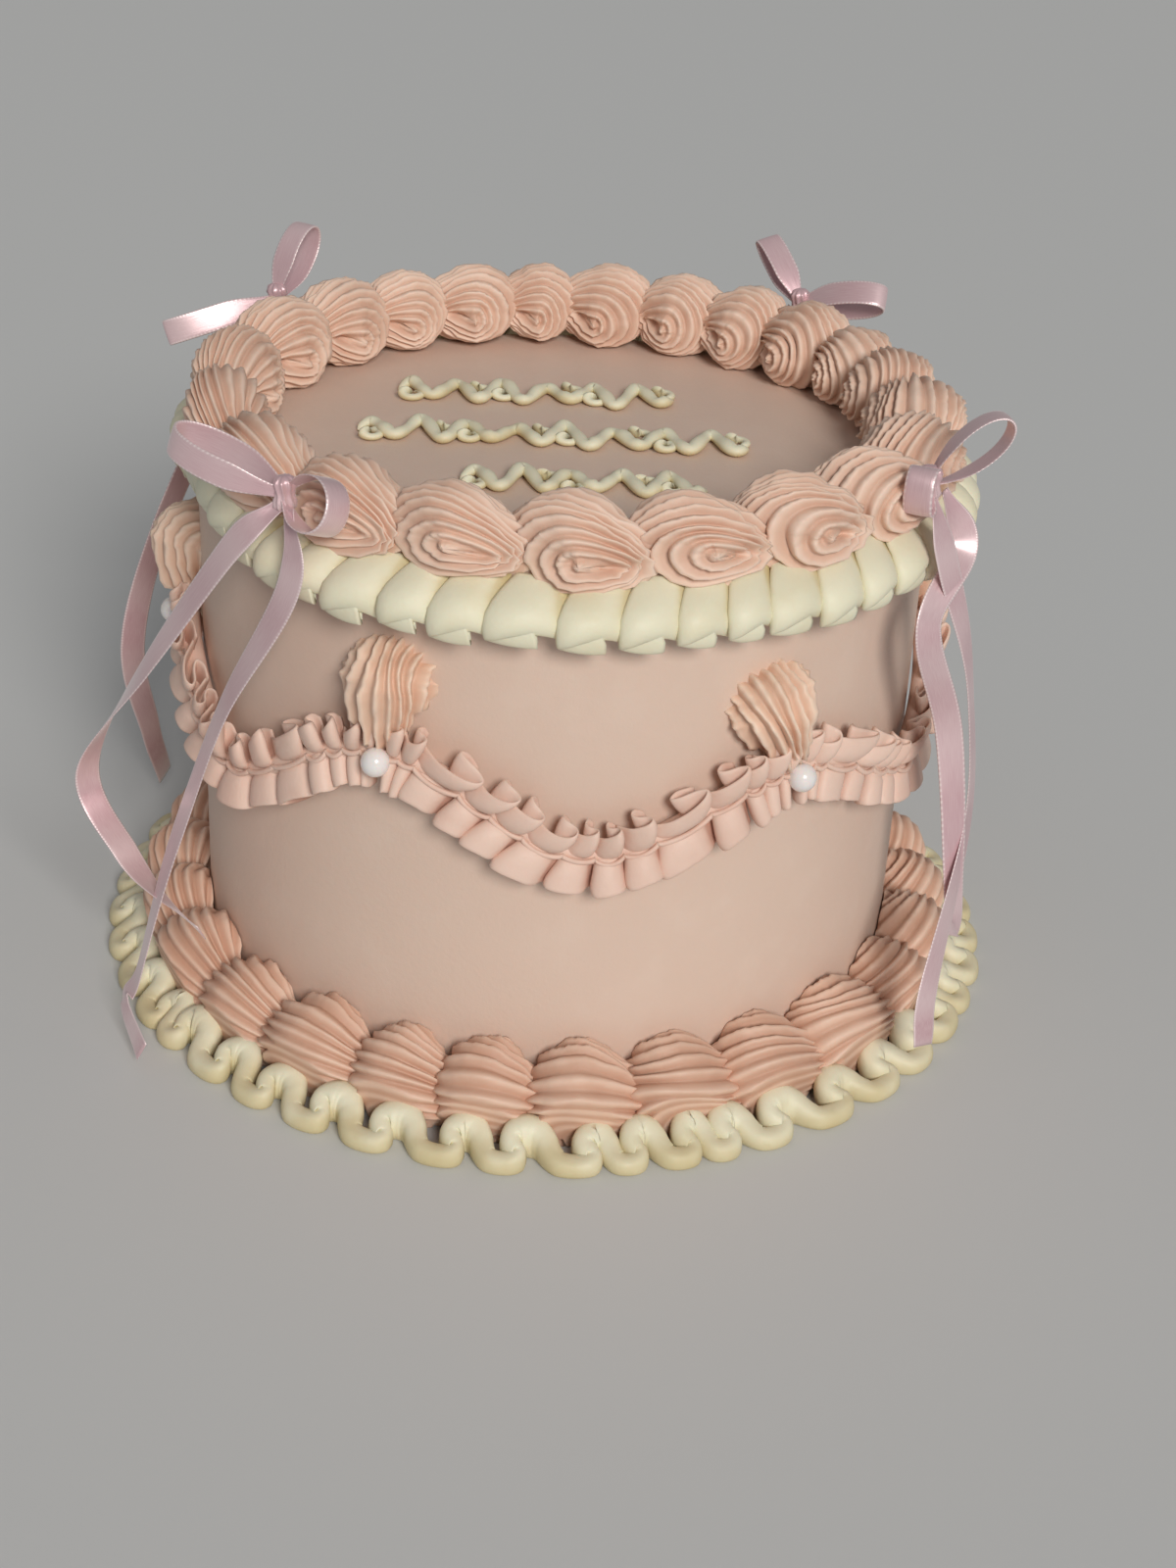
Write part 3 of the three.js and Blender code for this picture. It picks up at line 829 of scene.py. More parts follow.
@dataclass(frozen=True)
class Frill:
    """A ribbon of icing laid in pleats, each over the one before it.

    `route` is the ribbon's course in one pleat seen from above: [share of the pleat's
    width, millimetres out], and `drop` how much further than the rest the free edge hangs
    there. `belly` is how far out the ribbon stands from its base to its free edge, and
    `bow` how far its folds swing back half way. The last field is how far the painted shade
    in the hollows of its folds fades towards the free edge.
    """

    thick: float
    depth: float
    route: tuple[Pair, ...]
    drop: Row
    belly: Row
    gather: float
    flutter: float
    blank: Blank
    opening: float = 0.7
    bow: float = 0.0
    uneven: float = 0.6
    painted_shade_fade: float = 0.1

    def pleat(self, piece: Piece, width: float, fullness: float) -> tuple[Array, Array, Array, Array]:
        """Lays one pleat out flat.

        Args:
            piece: The piece that it will be added to.
            width: The pleat's width.
            fullness: How fully it is folded, from 0 to 1.

        Returns:
            Each point's place along, out and down, and how open it lies from 0 to 1, rising towards the free
            edge, which sets its painted shade.
        """
        hand, share = piece.hand, piece.share
        route = [(along * width, out) for along, out in self.route]
        course = through(route, share)
        run = unit(through(route, share + NEARBY) - through(route, share - NEARBY))
        side = piece.closed(squarer(np.cos(piece.turn), 0.6) * self.thick / 2)
        down = piece.closed(0.5 + 0.5 * squarer(np.sin(piece.turn), 0.8), 0.5)
        edge = hand.wobble(share * 3, (1, 2, 3)) * self.flutter
        fold = self.gather + (1 - self.gather) * np.minimum(down / 0.8, 1) ** self.opening
        along = share * width * (1 - fold) + course[:, 0] * fold - run[:, 1] * side
        along = along + self.bow * (1 - 2 * np.sin(math.pi * np.minimum(down, 0.72))) * fullness
        along = along + hand.off(self.uneven) * down
        out = course[:, 1] * fold * fullness + run[:, 0] * side + profile(self.belly, down) * fullness
        longer = profile(self.drop, share) + edge
        fall = down * (self.depth + hand.off(self.uneven) * fullness + longer * fullness)
        # Painted shade: the further back the course lies and the nearer the base, the more hollow colour the
        # point takes.
        reaches = [reach for _, reach in self.route]
        opened = (course[:, 1] - min(reaches)) / (max(reaches) - min(reaches))
        return along, out, fall, smooth(opened * 1.25 + self.painted_shade_fade * down)


@dataclass(frozen=True)
class Collar:
    """The ruffle that hangs under the top border, flatter round its left side."""

    top: float = 124.9
    reach: float = 84.4
    count: int = 49
    step_uneven: float = 0.2
    seen: Row = (
        -119.7, -111.8, -105.2, -97.9, -88.9, -80.9, -73.5, -67.2, -61.2, -53.3, -45.8, -39,
    )
    flat_turn: float = -162.0
    flat_spread: float = 24.0
    flatness: float = 0.75
    seed: int = 21
    flat_inward: float = 4.2
    flat_lift: float = 4.0
    frill: Frill = Frill(
        thick=1.7,
        depth=9.4,
        route=(
            (0.62, 0.5), (0.42, 0.6), (0.18, 0.4), (-0.03, 0.0), (-0.09, 0.6), (0.06, 1.5),
            (0.3, 1.5), (0.56, 0.8), (0.8, -0.4), (1.0, -1.8), (1.14, -2.9),
        ),
        drop=(3.3, 3.4, 3.3, 3.0, 2.5, 1.6, 0.5, 0.2, 1.2, 2.4, 3.2),
        belly=(-4.2, -1.5, 1.4, 3.0, 3.7, 3.7, 3.2),
        gather=0.4,
        bow=1.2,
        flutter=0.25,
        blank=Blank(Shape.BALL, 24, 34),
    )

    def build(self) -> None:
        """Makes the ruffle as one piece."""
        hand = Hand(self.seed)
        piece = Piece("collar", self.frill.blank, hand)
        starts = hand.starts(self.seen, self.count, self.step_uneven)
        for start, end in pairwise(starts):
            flat = self.flatness * nearness(start, self.flat_turn, self.flat_spread)
            width = math.radians(end - start) * self.reach
            along, out, fall, painted_light_share = self.frill.pleat(piece, width, 1 - flat)
            reach = self.reach + out - self.flat_inward * flat
            height = self.top + self.flat_lift * flat - fall
            # The pleats' openness marks their painted shade.
            piece.add(around(start + np.degrees(along / self.reach), reach, height), crest=painted_light_share)
        piece.place(CREAM, "top_ruffle")


@dataclass(frozen=True)
class FootRuffle:
    """The thick ribbon of cream laid in leaning folds round the foot.

    A fold's rows are [share of the fold's width, millimetres out, height, thickness]: the
    ribbon runs low along the outside, hooks back and climbs to a round head on the inside.
    """

    count: int = 47
    step_uneven: float = 0.2
    seen: Row = (
        -155.6, -147.4, -142.2, -133.1, -125.5, -117.1, -108.8, -99.8, -92.5,
        -83.5, -77.9, -71.3, -66.3, -59.2, -49.6, -40.7, -32.8,
    )
    fold: tuple[Quad, ...] = (
        (-0.38, 3.7, 4.4, 4.6), (-0.2, 4.1, 4.2, 4.5), (-0.02, 3.9, 4.6, 4.2), (0.06, 2.9, 5.3, 3.8),
        (0.0, 1.9, 6.1, 4.2), (-0.07, 0.4, 7.1, 5.0), (-0.02, -1.3, 7.9, 5.8), (0.13, -2.5, 8.3, 6.2),
        (0.3, -2.1, 7.9, 5.9), (0.41, -0.6, 6.7, 5.4), (0.47, 1.1, 5.6, 5.0), (0.54, 2.7, 4.8, 4.7),
    )
    reach: float = 97.7
    lean: float = 0.12
    steps: int = 40
    section: int = 16
    seed: int = 31

    def path(self, place: Array, starts: Array) -> Array:
        """The ribbon's course.

        Args:
            place: How many folds on from the first.
            starts: The folds' turns, in degrees.

        Returns:
            The turn, the reach, the height and the thickness at each place.
        """
        fold, rows = np.array(self.fold), len(self.fold)
        whole = np.floor(place)
        share = (place - whole) * rows
        first = share.astype(int)
        near = [
            fold[(first + k) % rows] + np.outer((first + k) // rows, (1, 0, 0, 0)) for k in (-1, 0, 1, 2)
        ]
        along, out, height, thick = spline(*near, (share - first)[:, None]).T
        turn = np.interp((whole + along) % self.count, np.arange(self.count + 1), starts)
        return np.stack([turn, self.reach + out, height, thick])

    def build(self) -> None:
        """Makes the ruffle as one closed ring."""
        hand = Hand(self.seed)
        piece = Piece("foot_ruffle_cream", Blank(Shape.RING, self.count * self.steps, self.section), hand)
        starts = np.array(hand.starts(self.seen, self.count, self.step_uneven))
        place = (piece.turn / FULL_TURN * self.count) % self.count
        turn, reach, height, thick = self.path(place, starts)
        turn_on, reach_on, _, _ = self.path((place + 2 * NEARBY) % self.count, starts)
        spots = around(turn, reach, 0.0)
        run = unit(around(turn_on, reach_on, 0.0) - spots)
        height = height * (1 + 0.1 * hand.wobble(place * 1.3, (1, 1.7, 2.9)))
        thick = thick * (1 + 0.07 * hand.wobble(place * 1.9, (1, 2)))
        level = (0.5 + 0.5 * squarer(np.sin(piece.rise), 0.8)) * height
        offset = squarer(np.cos(piece.rise), 0.7) * thick / 2
        spots[:, :2] += np.stack([run[:, 1], -run[:, 0]], axis=-1) * offset[:, None]
        reach = np.hypot(spots[:, 0], spots[:, 1])
        spots[:, :2] *= ((reach - self.lean * (level - 3)) / reach)[:, None]
        spots[:, 2] = level
        # Painted shade low on the ribbon and painted highlight high on it, by height.
        piece.add(spots, crest=0.2 + 0.8 * level / 8)
        piece.place(CREAM, "foot_ruffle")


@dataclass(frozen=True)
class Swags:
    """The ruffled swags on the side with the shells and pearls at their joints.

    A joint is [its height, how far its shell leans to the right in degrees]. `slack` is how
    much longer a seam is than a level line, and `lap` how far the bands cover it.
    """

    joints: tuple[Pair, ...] = ((83, 1), (79, -20), (81, 8), (82, -10), (80, 5), (82, -6))
    low: float = 65.2
    end_gap: float = 0.9
    seen: Row = (3.2, 3.6, 10, 6.8, 7, 8.7, 6.9, 6.3, 7.2, 11.8, 8.1, 4.5, 4.5, 3)
    unseen: Pair = (8, 0.35)
    wall: float = 80.2
    shell: ShellForm = ShellForm(
        head=9, tail=18.5, half_width=11, rise=10.5, ridges=12, sag=(5, 5), droop=0.6, depth=0.22,
        sharpness=1.4, ragged=0.07, fray_waves=(4, 9, 17), wander=0.07, pole_back=(0, 0),
        tail_width=0.36, tail_rise=0.3, crowding=0.2, fan=0.6, brow=1.05,
    )
    shell_blank: Blank = Blank(Shape.BALL, 48, 96)
    shell_stand: float = 15.4
    pearl_blank: Blank = Blank(Shape.BALL, 32, 24)
    shell_out: float = 0.3
    shell_root: float = 1.5
    pearl_radius: float = 3.0
    pearl_reach: float = 86.2
    pearl_drop: float = 1.0
    slack: float = 1.08
    lap: float = 0.8
    edge_seed: int = 50
    shell_seed: int = 60
    pearl_seed: int = 70
    core: Pair = (2.4, 2.2)
    bead: Pair = (4.8, 0.55)
    hanging: Frill = Frill(
        thick=0.85,
        depth=8.2,
        route=(
            (0.5, -3.2), (0.25, -3.2), (0.02, -2.4), (-0.12, -0.9), (-0.08, 0.8), (0.12, 1.5),
            (0.38, 1.5), (0.6, 0.9), (0.74, -0.5), (0.84, -2.1), (0.98, -3.1),
        ),
        drop=(0.9, 0.9, 0.8, 0.6, 0.3, 0.0, -0.2, 0.0, 0.3, 0.3, 0.2),
        belly=(2.6, 4.2, 5.0, 5.3, 5.6, 6.2),
        gather=0.35,
        flutter=0.5,
        blank=Blank(Shape.BALL, 18, 34),
    )
    standing: Frill = Frill(
        thick=0.85,
        depth=7.2,
        route=(
            (-0.06, -2.2), (0.16, -0.6), (0.42, 1.2), (0.76, 2.4), (1.02, 2.7), (1.14, 1.8),
            (1.0, 0.6), (0.72, 0.0), (0.58, -1.0), (0.74, -2.2), (1.0, -2.5),
        ),
        drop=(-1.0, -1.2, -1.0, -0.3, 0.5, 1.1, 1.2, 1.4, 1.6, 1.5, 0.2),
        belly=(2.8, 4.2, 4.8, 4.9, 4.9, 4.9),
        gather=0.2,
        opening=0.6,
        flutter=0.9,
        painted_shade_fade=0.7,
        blank=Blank(Shape.BALL, 16, 40),
    )

    def seam(self, swag: int, share: Array) -> tuple[Array, Array]:
        """The line on the wall where a swag's two bands meet.

        Args:
            swag: Which swag, from the joint at the front left.
            share: How far along it, from 0 to 1.

        Returns:
            The turn in degrees and the height at each share.
        """
        part = 2 * share - 1
        top = np.where(part < 0, self.joints[swag][0], self.joints[(swag + 1) % JOINTS][0])
        height = self.low + (top - self.low) * (1 - np.cos(math.pi * part)) / 2
        middle = FRONT_JOINT + (swag + 0.5) * JOINT_STEP
        return middle + part * (JOINT_STEP / 2 - self.end_gap), height

    def hung(self, swag: int, along: Array, out: Array, fall: Array) -> Array:
        """Bends a flat pleat onto a swag's seam.

        Args:
            swag: Which swag.
            along: Share of the seam's length.
            out: Millimetres out of the wall.
            fall: Millimetres down across the seam.

        Returns:
            The points in the cake's frame.
        """
        turn, height = self.seam(swag, along)
        turn_on, height_on = self.seam(swag, along + NEARBY)
        run = np.radians(turn_on - turn) * self.wall
        climb = height_on - height
        slope = np.hypot(run, climb)
        turn = turn + np.degrees(fall * climb / slope / self.wall)
        return around(turn, self.wall + out, height - fall * run / slope)

    def band(self, name: str, frill: Frill, side: int, seed: int) -> None:
        """Makes one band of all six swags, a piece for each.

        Args:
            name: The band's name, as in its CAD nodes.
            frill: How it is pleated.
            side: 1 below the seam and -1 above it.
            seed: For the unevenness.
        """
        hand = Hand(seed)
        length = math.radians(JOINT_STEP) * self.wall * self.slack
        for swag in range(JOINTS):
            piece = Piece(f"swag_{name}_{swag + 1}", frill.blank, hand)
            edges = self.edges(swag)
            for start, end in pairwise(edges):
                width = (end - start) * length
                fullness = hand.near(0.95, 0.12) * (0.8 + 0.2 * smooth(4 * min(start, 1 - end) + width / 10))
                along, out, fall, painted_light_share = frill.pleat(piece, width, fullness)
                spots = self.hung(swag, start + along / length, out, side * (fall - self.lap))
                # The pleats' openness marks their painted shade.
                piece.add(spots, crest=painted_light_share)
            if side > 0:
                self.add_roll(piece, swag, (0, 1), 0, self.core)
            else:
                for ends in pairwise(edges):
                    self.add_roll(piece, swag, ends, hand.near(0.9, 0.6), self.bead)
            piece.place(ROSE, f"swag_{name}_ruffle_{swag + 1}")

    def edges(self, swag: int) -> Array:
        """Where one swag's pleats meet, the same in both of its bands.

        Args:
            swag: Which swag. The first is the one seen from the front.

        Returns:
            Shares of the seam's length, from 0 to 1.
        """
        hand = Hand(self.edge_seed + swag)
        widths = np.array(self.seen)
        if swag:
            widths[2:-3] = [hand.near(*self.unseen) for _ in widths[2:-3]]
        return np.concatenate([[0], np.cumsum(widths)]) / widths.sum()

    def add_roll(self, piece: Piece, swag: int, ends: Pair, sag: float, size: Pair) -> None:
        """Adds a roll of icing along a swag's seam.

        Args:
            piece: The piece that it joins.
            swag: Which swag.
            ends: Where it begins and ends, as shares of the seam's length.
            sag: How far its middle hangs down and bulges out.
            size: How far its middle line is from the wall, and its radius.
        """
        round_it = piece.closed(size[1])
        swell = sag * np.sin(math.pi * piece.share) ** 0.7
        fall = np.sin(piece.turn) * round_it + swell
        reach = size[0] + np.cos(piece.turn) * round_it + 0.6 * swell
        # A fixed mark near a crest's gives the rolls part of the painted highlight all over.
        piece.add(self.hung(swag, ends[0] + (ends[1] - ends[0]) * piece.share, reach, fall), crest=0.8)

    def build(self) -> None:
        """Makes both bands, and the shell on its tail over a pearl at each joint."""
        self.band("hanging", self.hanging, 1, 41)
        self.band("standing", self.standing, -1, 42)
        for number, (height, lean) in enumerate(self.joints):
            piece = Piece(f"standing_shell_{number + 1}", self.shell_blank, Hand(self.shell_seed + number))
            spots, crest = self.shell.surface(piece)
            up, across = turned(self.shell_stand - spots[:, 0], spots[:, 1], lean)
            reach = np.maximum(self.wall + self.shell_out + spots[:, 2], self.wall - self.shell_root)
            turn = FRONT_JOINT + number * JOINT_STEP + np.degrees(across / self.wall)
            piece.add(around(turn, reach, height + up), crest=crest)
            piece.place(LIGHT_PEACH, f"side_shell_{number + 1}")
        for number, (height, _) in enumerate(self.joints):
            piece = Piece(f"sugar_pearl_{number + 1}", self.pearl_blank, Hand(self.pearl_seed + number))
            radius = self.pearl_radius * (1 + 0.012 * piece.hand.wobble(piece.rise * 2, (1, 2)))
            ball = around(np.degrees(piece.turn), radius * np.sin(piece.rise), radius * np.cos(piece.rise))
            turn = FRONT_JOINT + number * JOINT_STEP
            piece.add(ball + around(turn, self.pearl_reach, height - self.pearl_drop))
            piece.place(PEARL, f"pearl_{number + 1}")


@dataclass(frozen=True)
class Loop:
    """One closed loop of a bow, wound round `axis` and aimed from the knot."""

    aim: Triple
    axis: Triple
    length: float
    breadth: float


@dataclass(frozen=True)
class Bow:
    """A ribbon bow in its own frame, +X pointing out of the cake at its turn.

    A tail's points are [turn from the knot, reach from the cake's axis, height, twist].
    """

    name: str
    turn: float
    loops: tuple[Loop, Loop]
    tails: tuple[tuple[Quad, ...], tuple[Quad, ...]]


BOWS = (
    Bow(
        "front_left",
        -128,
        (Loop((7.6, -23.7, 8), (-0.1, 0.2, 0.95), 25, 12.5), Loop((2.5, 17, 1), (0.9, -0.15, 0.35), 16, 13)),
        (
            (
                (0, 88, 132, 0), (-5, 94.5, 122, 10), (-19, 100, 89, 20), (-28, 109, 59, 70),
                (-23, 104, 42, 80), (-17, 100, 35, 50), (-10, 98, 32, 30),
            ),
            (
                (2, 88.5, 132, 0), (4, 93, 118, 5), (-6, 95, 88, 25), (-14, 99, 53, 15),
                (-18, 106, 17.5, 20), (-18, 109.5, 10.5, 0), (-12, 111.5, 5, -10),
            ),
        ),
    ),
    Bow(
        "front_right",
        -33,
        (Loop((1.5, -8, 0), (0.84, 0.55, 0), 8.5, 11.5), Loop((11, 10.5, 13), (0.6, -0.65, 0.1), 20, 9)),
        (
            (
                (-1, 88, 132, 0), (0, 93.5, 117, 15), (5, 98, 89, -10), (6, 101, 54, 0),
                (-6, 106, 28, 15), (-8, 108.5, 15, 10),
            ),
            (
                (3, 88, 131, 0), (5, 92.8, 119, 60), (-4, 93.5, 106, 30), (3, 96, 78, 50),
                (3, 102, 40, 20), (1, 104, 33, 10),
            ),
        ),
    ),
    Bow(
        "back_right",
        51,
        (Loop((5, -24, 6), (0.6, 0.1, 0.75), 22, 10), Loop((4, 13, 11), (0.7, -0.45, 0.15), 19, 5)),
        (
            ((0, 88, 132, 0), (-3, 93, 119, 15), (-8, 97, 88, 10), (-12, 101, 52, 25), (-11, 106.5, 24, 10)),
            ((2, 88, 132, 0), (4, 93.5, 118, -10), (9, 96, 92, 20), (6, 99, 66, 0), (9, 101, 44, 15)),
        ),
    ),
    Bow(
        "back_left",
        143,
        (Loop((1, -12, 15), (1.0, 0.1, 0.0), 19, 9), Loop((15, 22, -7), (0.4, 0, 0.9), 27, 7)),
        (
            (
                (1, 88, 132, 0), (5, 93.5, 119, 10), (19, 100, 83, 25), (23, 105, 55, 50),
                (18, 106, 28, 20), (13, 108, 10, 0),
            ),
            ((-1, 88, 132, 0), (-5, 93.5, 118, 10), (-11, 97, 90, 15), (-8, 100, 58, 0), (-12, 103, 30, 10)),
        ),
    ),
)


@dataclass(frozen=True)
class Ribbon:
    """The satin ribbon that all four bows are tied from."""

    width: float = 6.0
    thick: float = 0.35
    knot_middle: Triple = (86.8, 0.0, 134.0)
    knot_radii: Triple = (2.9, 2.4, 3.7)
    fullness: float = 0.3
    seed: int = 80
    knot_blank: Blank = Blank(Shape.BALL, 56, 24)
    loop_blank: Blank = Blank(Shape.RING, 72, 16)
    tail_blank: Blank = Blank(Shape.BALL, 16, 90)

    def section(self, lap: Array) -> tuple[Array, Array]:
        """The ribbon's flat section: places across, from -1 to 1, and through its thickness."""
        return np.cos(lap), squarer(np.sin(lap), 0.4) * self.thick / 2

    def tail(self, piece: Piece, points: Sequence[Quad]) -> None:
        """Adds a hanging tail to a piece.

        Args:
            piece: The piece, of the tail's blank.
            points: The tail's course, as a bow gives it.
        """
        share = piece.share
        here = self.course(points, share)
        run = unit(self.course(points, share + NEARBY) - self.course(points, share - NEARBY))
        twist = np.radians(profile([point[3] for point in points], share))[:, None]
        across = unit(np.cross(run, unit(here * (1, 1, 0))))
        widthways = across * np.cos(twist) + np.cross(run, across) * np.sin(twist)
        flat, deep = (piece.closed(part) for part in self.section(piece.turn))
        gathered = 0.45 + 0.55 * smooth(share * 7)
        cup = 0.5 * (1 - gathered) * flat * flat + 0.12 * piece.hand.wobble(share * 14, (1, 2))
        spots = here + widthways * (flat * gathered * self.width / 2)[:, None]
        spots = spots + np.cross(widthways, run) * (deep + cup * 2)[:, None]
        steps = np.diff(self.course(points, np.linspace(0, 1, 60)), axis=0)
        piece.add(spots, across=flat, along=share * np.linalg.norm(steps, axis=1).sum())

    @staticmethod
    def course(points: Sequence[Quad], share: Array) -> Array:
        """Reads a tail's course, and a little straight on past its ends.

        Args:
            points: The tail's points as a bow gives them.
            share: How far along, from 0 to 1.

        Returns:
            The points in the bow's frame.
        """
        places = [around(turn, reach, height) for turn, reach, height, _ in points]
        step = 2 * NEARBY
        start, start_on, end_before, end = through(places, np.array([0.0, step, 1 - step, 1.0]))
        under, over = np.maximum(-share, 0) / step, np.maximum(share - 1, 0) / step
        beyond = np.outer(over, end - end_before)
        return through(places, share) + beyond + np.outer(under, start - start_on)

    def loop(self, piece: Piece, loop: Loop) -> None:
        """Adds a closed loop to a piece.

        Args:
            piece: The piece, of the loop's blank.
            loop: Where the loop points and how big it is.
        """
        out = Vector(loop.aim).normalized()
        side = Vector(loop.axis).cross(out).normalized()
        far = (1 - np.cos(piece.turn)) / 2
        flat, deep = self.section(piece.rise)
        belly = loop.breadth * far**self.fullness
        gathered = 0.4 + 0.6 * smooth(far * 2.2)
        crease = 0.35 * (1 - gathered) * np.cos(flat * 9 + piece.hand.off(1))
        spots = (
            np.outer(far * (loop.length + 2 * deep), out)
            + np.outer(0.5 * np.sin(piece.turn) * (belly + 2 * deep) + crease, side)
            + np.outer(flat * gathered * self.width / 2, out.cross(side))
        )
        piece.add(spots + self.knot_middle, across=flat, along=piece.turn * loop.length / 3)

    def knot(self, piece: Piece) -> None:
        """Adds the tight creased wrap in a bow's middle.

        Args:
            piece: The piece, of the knot's blank.
        """
        level = np.cos(piece.rise)
        creases = 1 - 0.26 * np.abs(np.sin(piece.turn * 4.5 + level * 1.2 + piece.hand.off(1))) ** 0.5
        pinch = 1 - 0.16 * np.cos(level * 4.5)
        wrap = np.sin(piece.rise) ** 0.6 * creases * pinch
        ball = np.stack([np.cos(piece.turn) * wrap, np.sin(piece.turn) * wrap, level], axis=-1)
        spots = ball * self.knot_radii + self.knot_middle
        piece.add(spots, across=0.6 * np.sin(piece.turn * 7), along=level * 6)

    def tie(self, bow: Bow) -> None:
        """Makes a whole bow as its knot, its loops and its tails.

        Args:
            bow: The bow.
        """
        hand = Hand(self.seed + len(bow.name))
        knot = Piece(f"knot_{bow.name}", self.knot_blank, hand)
        self.knot(knot)
        loops = Piece(f"loops_{bow.name}", self.loop_blank, hand)
        for loop in bow.loops:
            self.loop(loops, loop)
        tails = Piece(f"tails_{bow.name}", self.tail_blank, hand)
        for points in bow.tails:
            self.tail(tails, points)
        cos, sin = turned(1, 0, bow.turn)
        about = np.array([[cos, sin, 0], [-sin, cos, 0], [0, 0, 1]])
        for piece in (knot, loops, tails):
            piece.spots = [spots @ about for spots in piece.spots]
            piece.place(MAUVE, f"bow_{bow.name}")


@dataclass(frozen=True)
class ScrollRow:
    """A wavy line of cream on the top, with a curl wound into each hollow of the wave."""

    name: str
    start: Pair
    end: Pair
    waves: int
    seed: int
    swing: float = 4.3
    half: float = 1.55
    level: float = 120.2
    curl: float = 3.2
    winding: float = 250.0
    turns: int = 14
    rows_a_wave: int = 22
    rows_a_curl: int = 30

    def build(self) -> None:
        """Makes the line as one piece and its curls as another."""
        hand = Hand(self.seed)
        blank = Blank(Shape.BALL, self.turns, self.waves * self.rows_a_wave)
        piece = Piece(f"scrollwork_{self.name}", blank, hand)
        share = piece.share
        here = self.line(share, hand)
        run = unit(self.line(share + 0.001, None) - self.line(share, None))
        side = np.stack([-run[:, 1], run[:, 0]], axis=-1)
        ends = np.sqrt(np.clip(np.minimum(share, 1 - share) * self.waves * 6, 0.02, 1))
        half = self.half * ends * (1 + 0.16 * hand.wobble(share * self.waves * 9, (1, 2.3)))
        self.lay(piece, here, side, half, np.sin(piece.turn))
        piece.place(CREAM, f"scroll_{self.name}")
        curls = Piece(f"scroll_curls_{self.name}", Blank(Shape.BALL, self.turns, self.rows_a_curl), hand)
        for wave in range(self.waves):
            hollow = 2 * wave + wave % 2
            self.add_curl(curls, (hollow + 0.5) / (2 * self.waves), 1 - 2 * (hollow % 2))
        curls.place(CREAM)

    def lay(self, piece: Piece, here: Array, side: Array, half: Array, up: Array) -> None:
        """Lays a rope of cream on the top, flattened below.

        Args:
            piece: The piece that it joins.
            here: Its middle line's X and Y.
            side: The way across it.
            half: Half its thickness.
            up: How high up its section each point lies, from -1 to 1.
        """
        spots = np.zeros((len(half), 3))
        spots[:, :2] = here + side * piece.closed(np.cos(piece.turn) * half)[:, None]
        spots[:, 2] = self.level + half * 0.8 * (1 + piece.closed(np.maximum(up, -0.9)))
        # Painted highlight on the rope's upper side and painted shade on its underside.
        piece.add(spots, crest=0.5 + 0.5 * up)

    def add_curl(self, piece: Piece, part: float, side: int) -> None:
        """Adds a curl of cream that winds into a hollow of the wave and ends in a bud.

        Args:
            piece: The piece that it joins.
            part: How far along the row the hollow is.
            side: 1 where the wave swings to the row's left there, and -1 to its right.
        """
        share = piece.share
        middle = self.line(np.array([part]), None)[0] - (0, side * self.swing * 1.6)
        wound = math.radians(self.winding) * share + piece.hand.off(0.3)
        radius = self.curl * (1 - 0.72 * share) * piece.hand.near(1, 0.1)
        here = middle + np.stack([radius * np.sin(wound), side * radius * np.cos(wound)], axis=-1)
        bud = np.exp(-(((share - 1) / 0.16) ** 2))
        half = self.half * (0.62 + 0.5 * bud) * np.sqrt(np.clip(share * 7, 0.05, 1))
        up = piece.closed(np.maximum(np.sin(piece.turn), -0.9))
        self.lay(piece, here, (here - middle) / radius[:, None], half, up)

    def line(self, share: Array, hand: Hand | None) -> Array:
        """The row's wavy line seen from above.

        Args:
            share: How far along it, from 0 to 1.
            hand: For a little unevenness, or None for the bare wave.

        Returns:
            One X and Y for each share.
        """
        wave = FULL_TURN * self.waves * share
        x = self.start[0] + (self.end[0] - self.start[0]) * share
        taller = 1 + 0.3 * np.sin(0.37 * wave + self.seed)
        y = self.start[1] + (self.end[1] - self.start[1]) * share + self.swing * taller * np.sin(wave)
        if hand is not None:
            y = y + 0.7 * hand.wobble(share * 20, (1, 2))
        return np.stack([x, y], axis=-1)


SCROLLS = (
    ScrollRow("back", (-39, 30), (24, 31), 6, 91),
    ScrollRow("middle", (-46, 4), (40, 3), 8, 92),
    ScrollRow("front", (-22, -23), (30, -23), 5, 93),
)


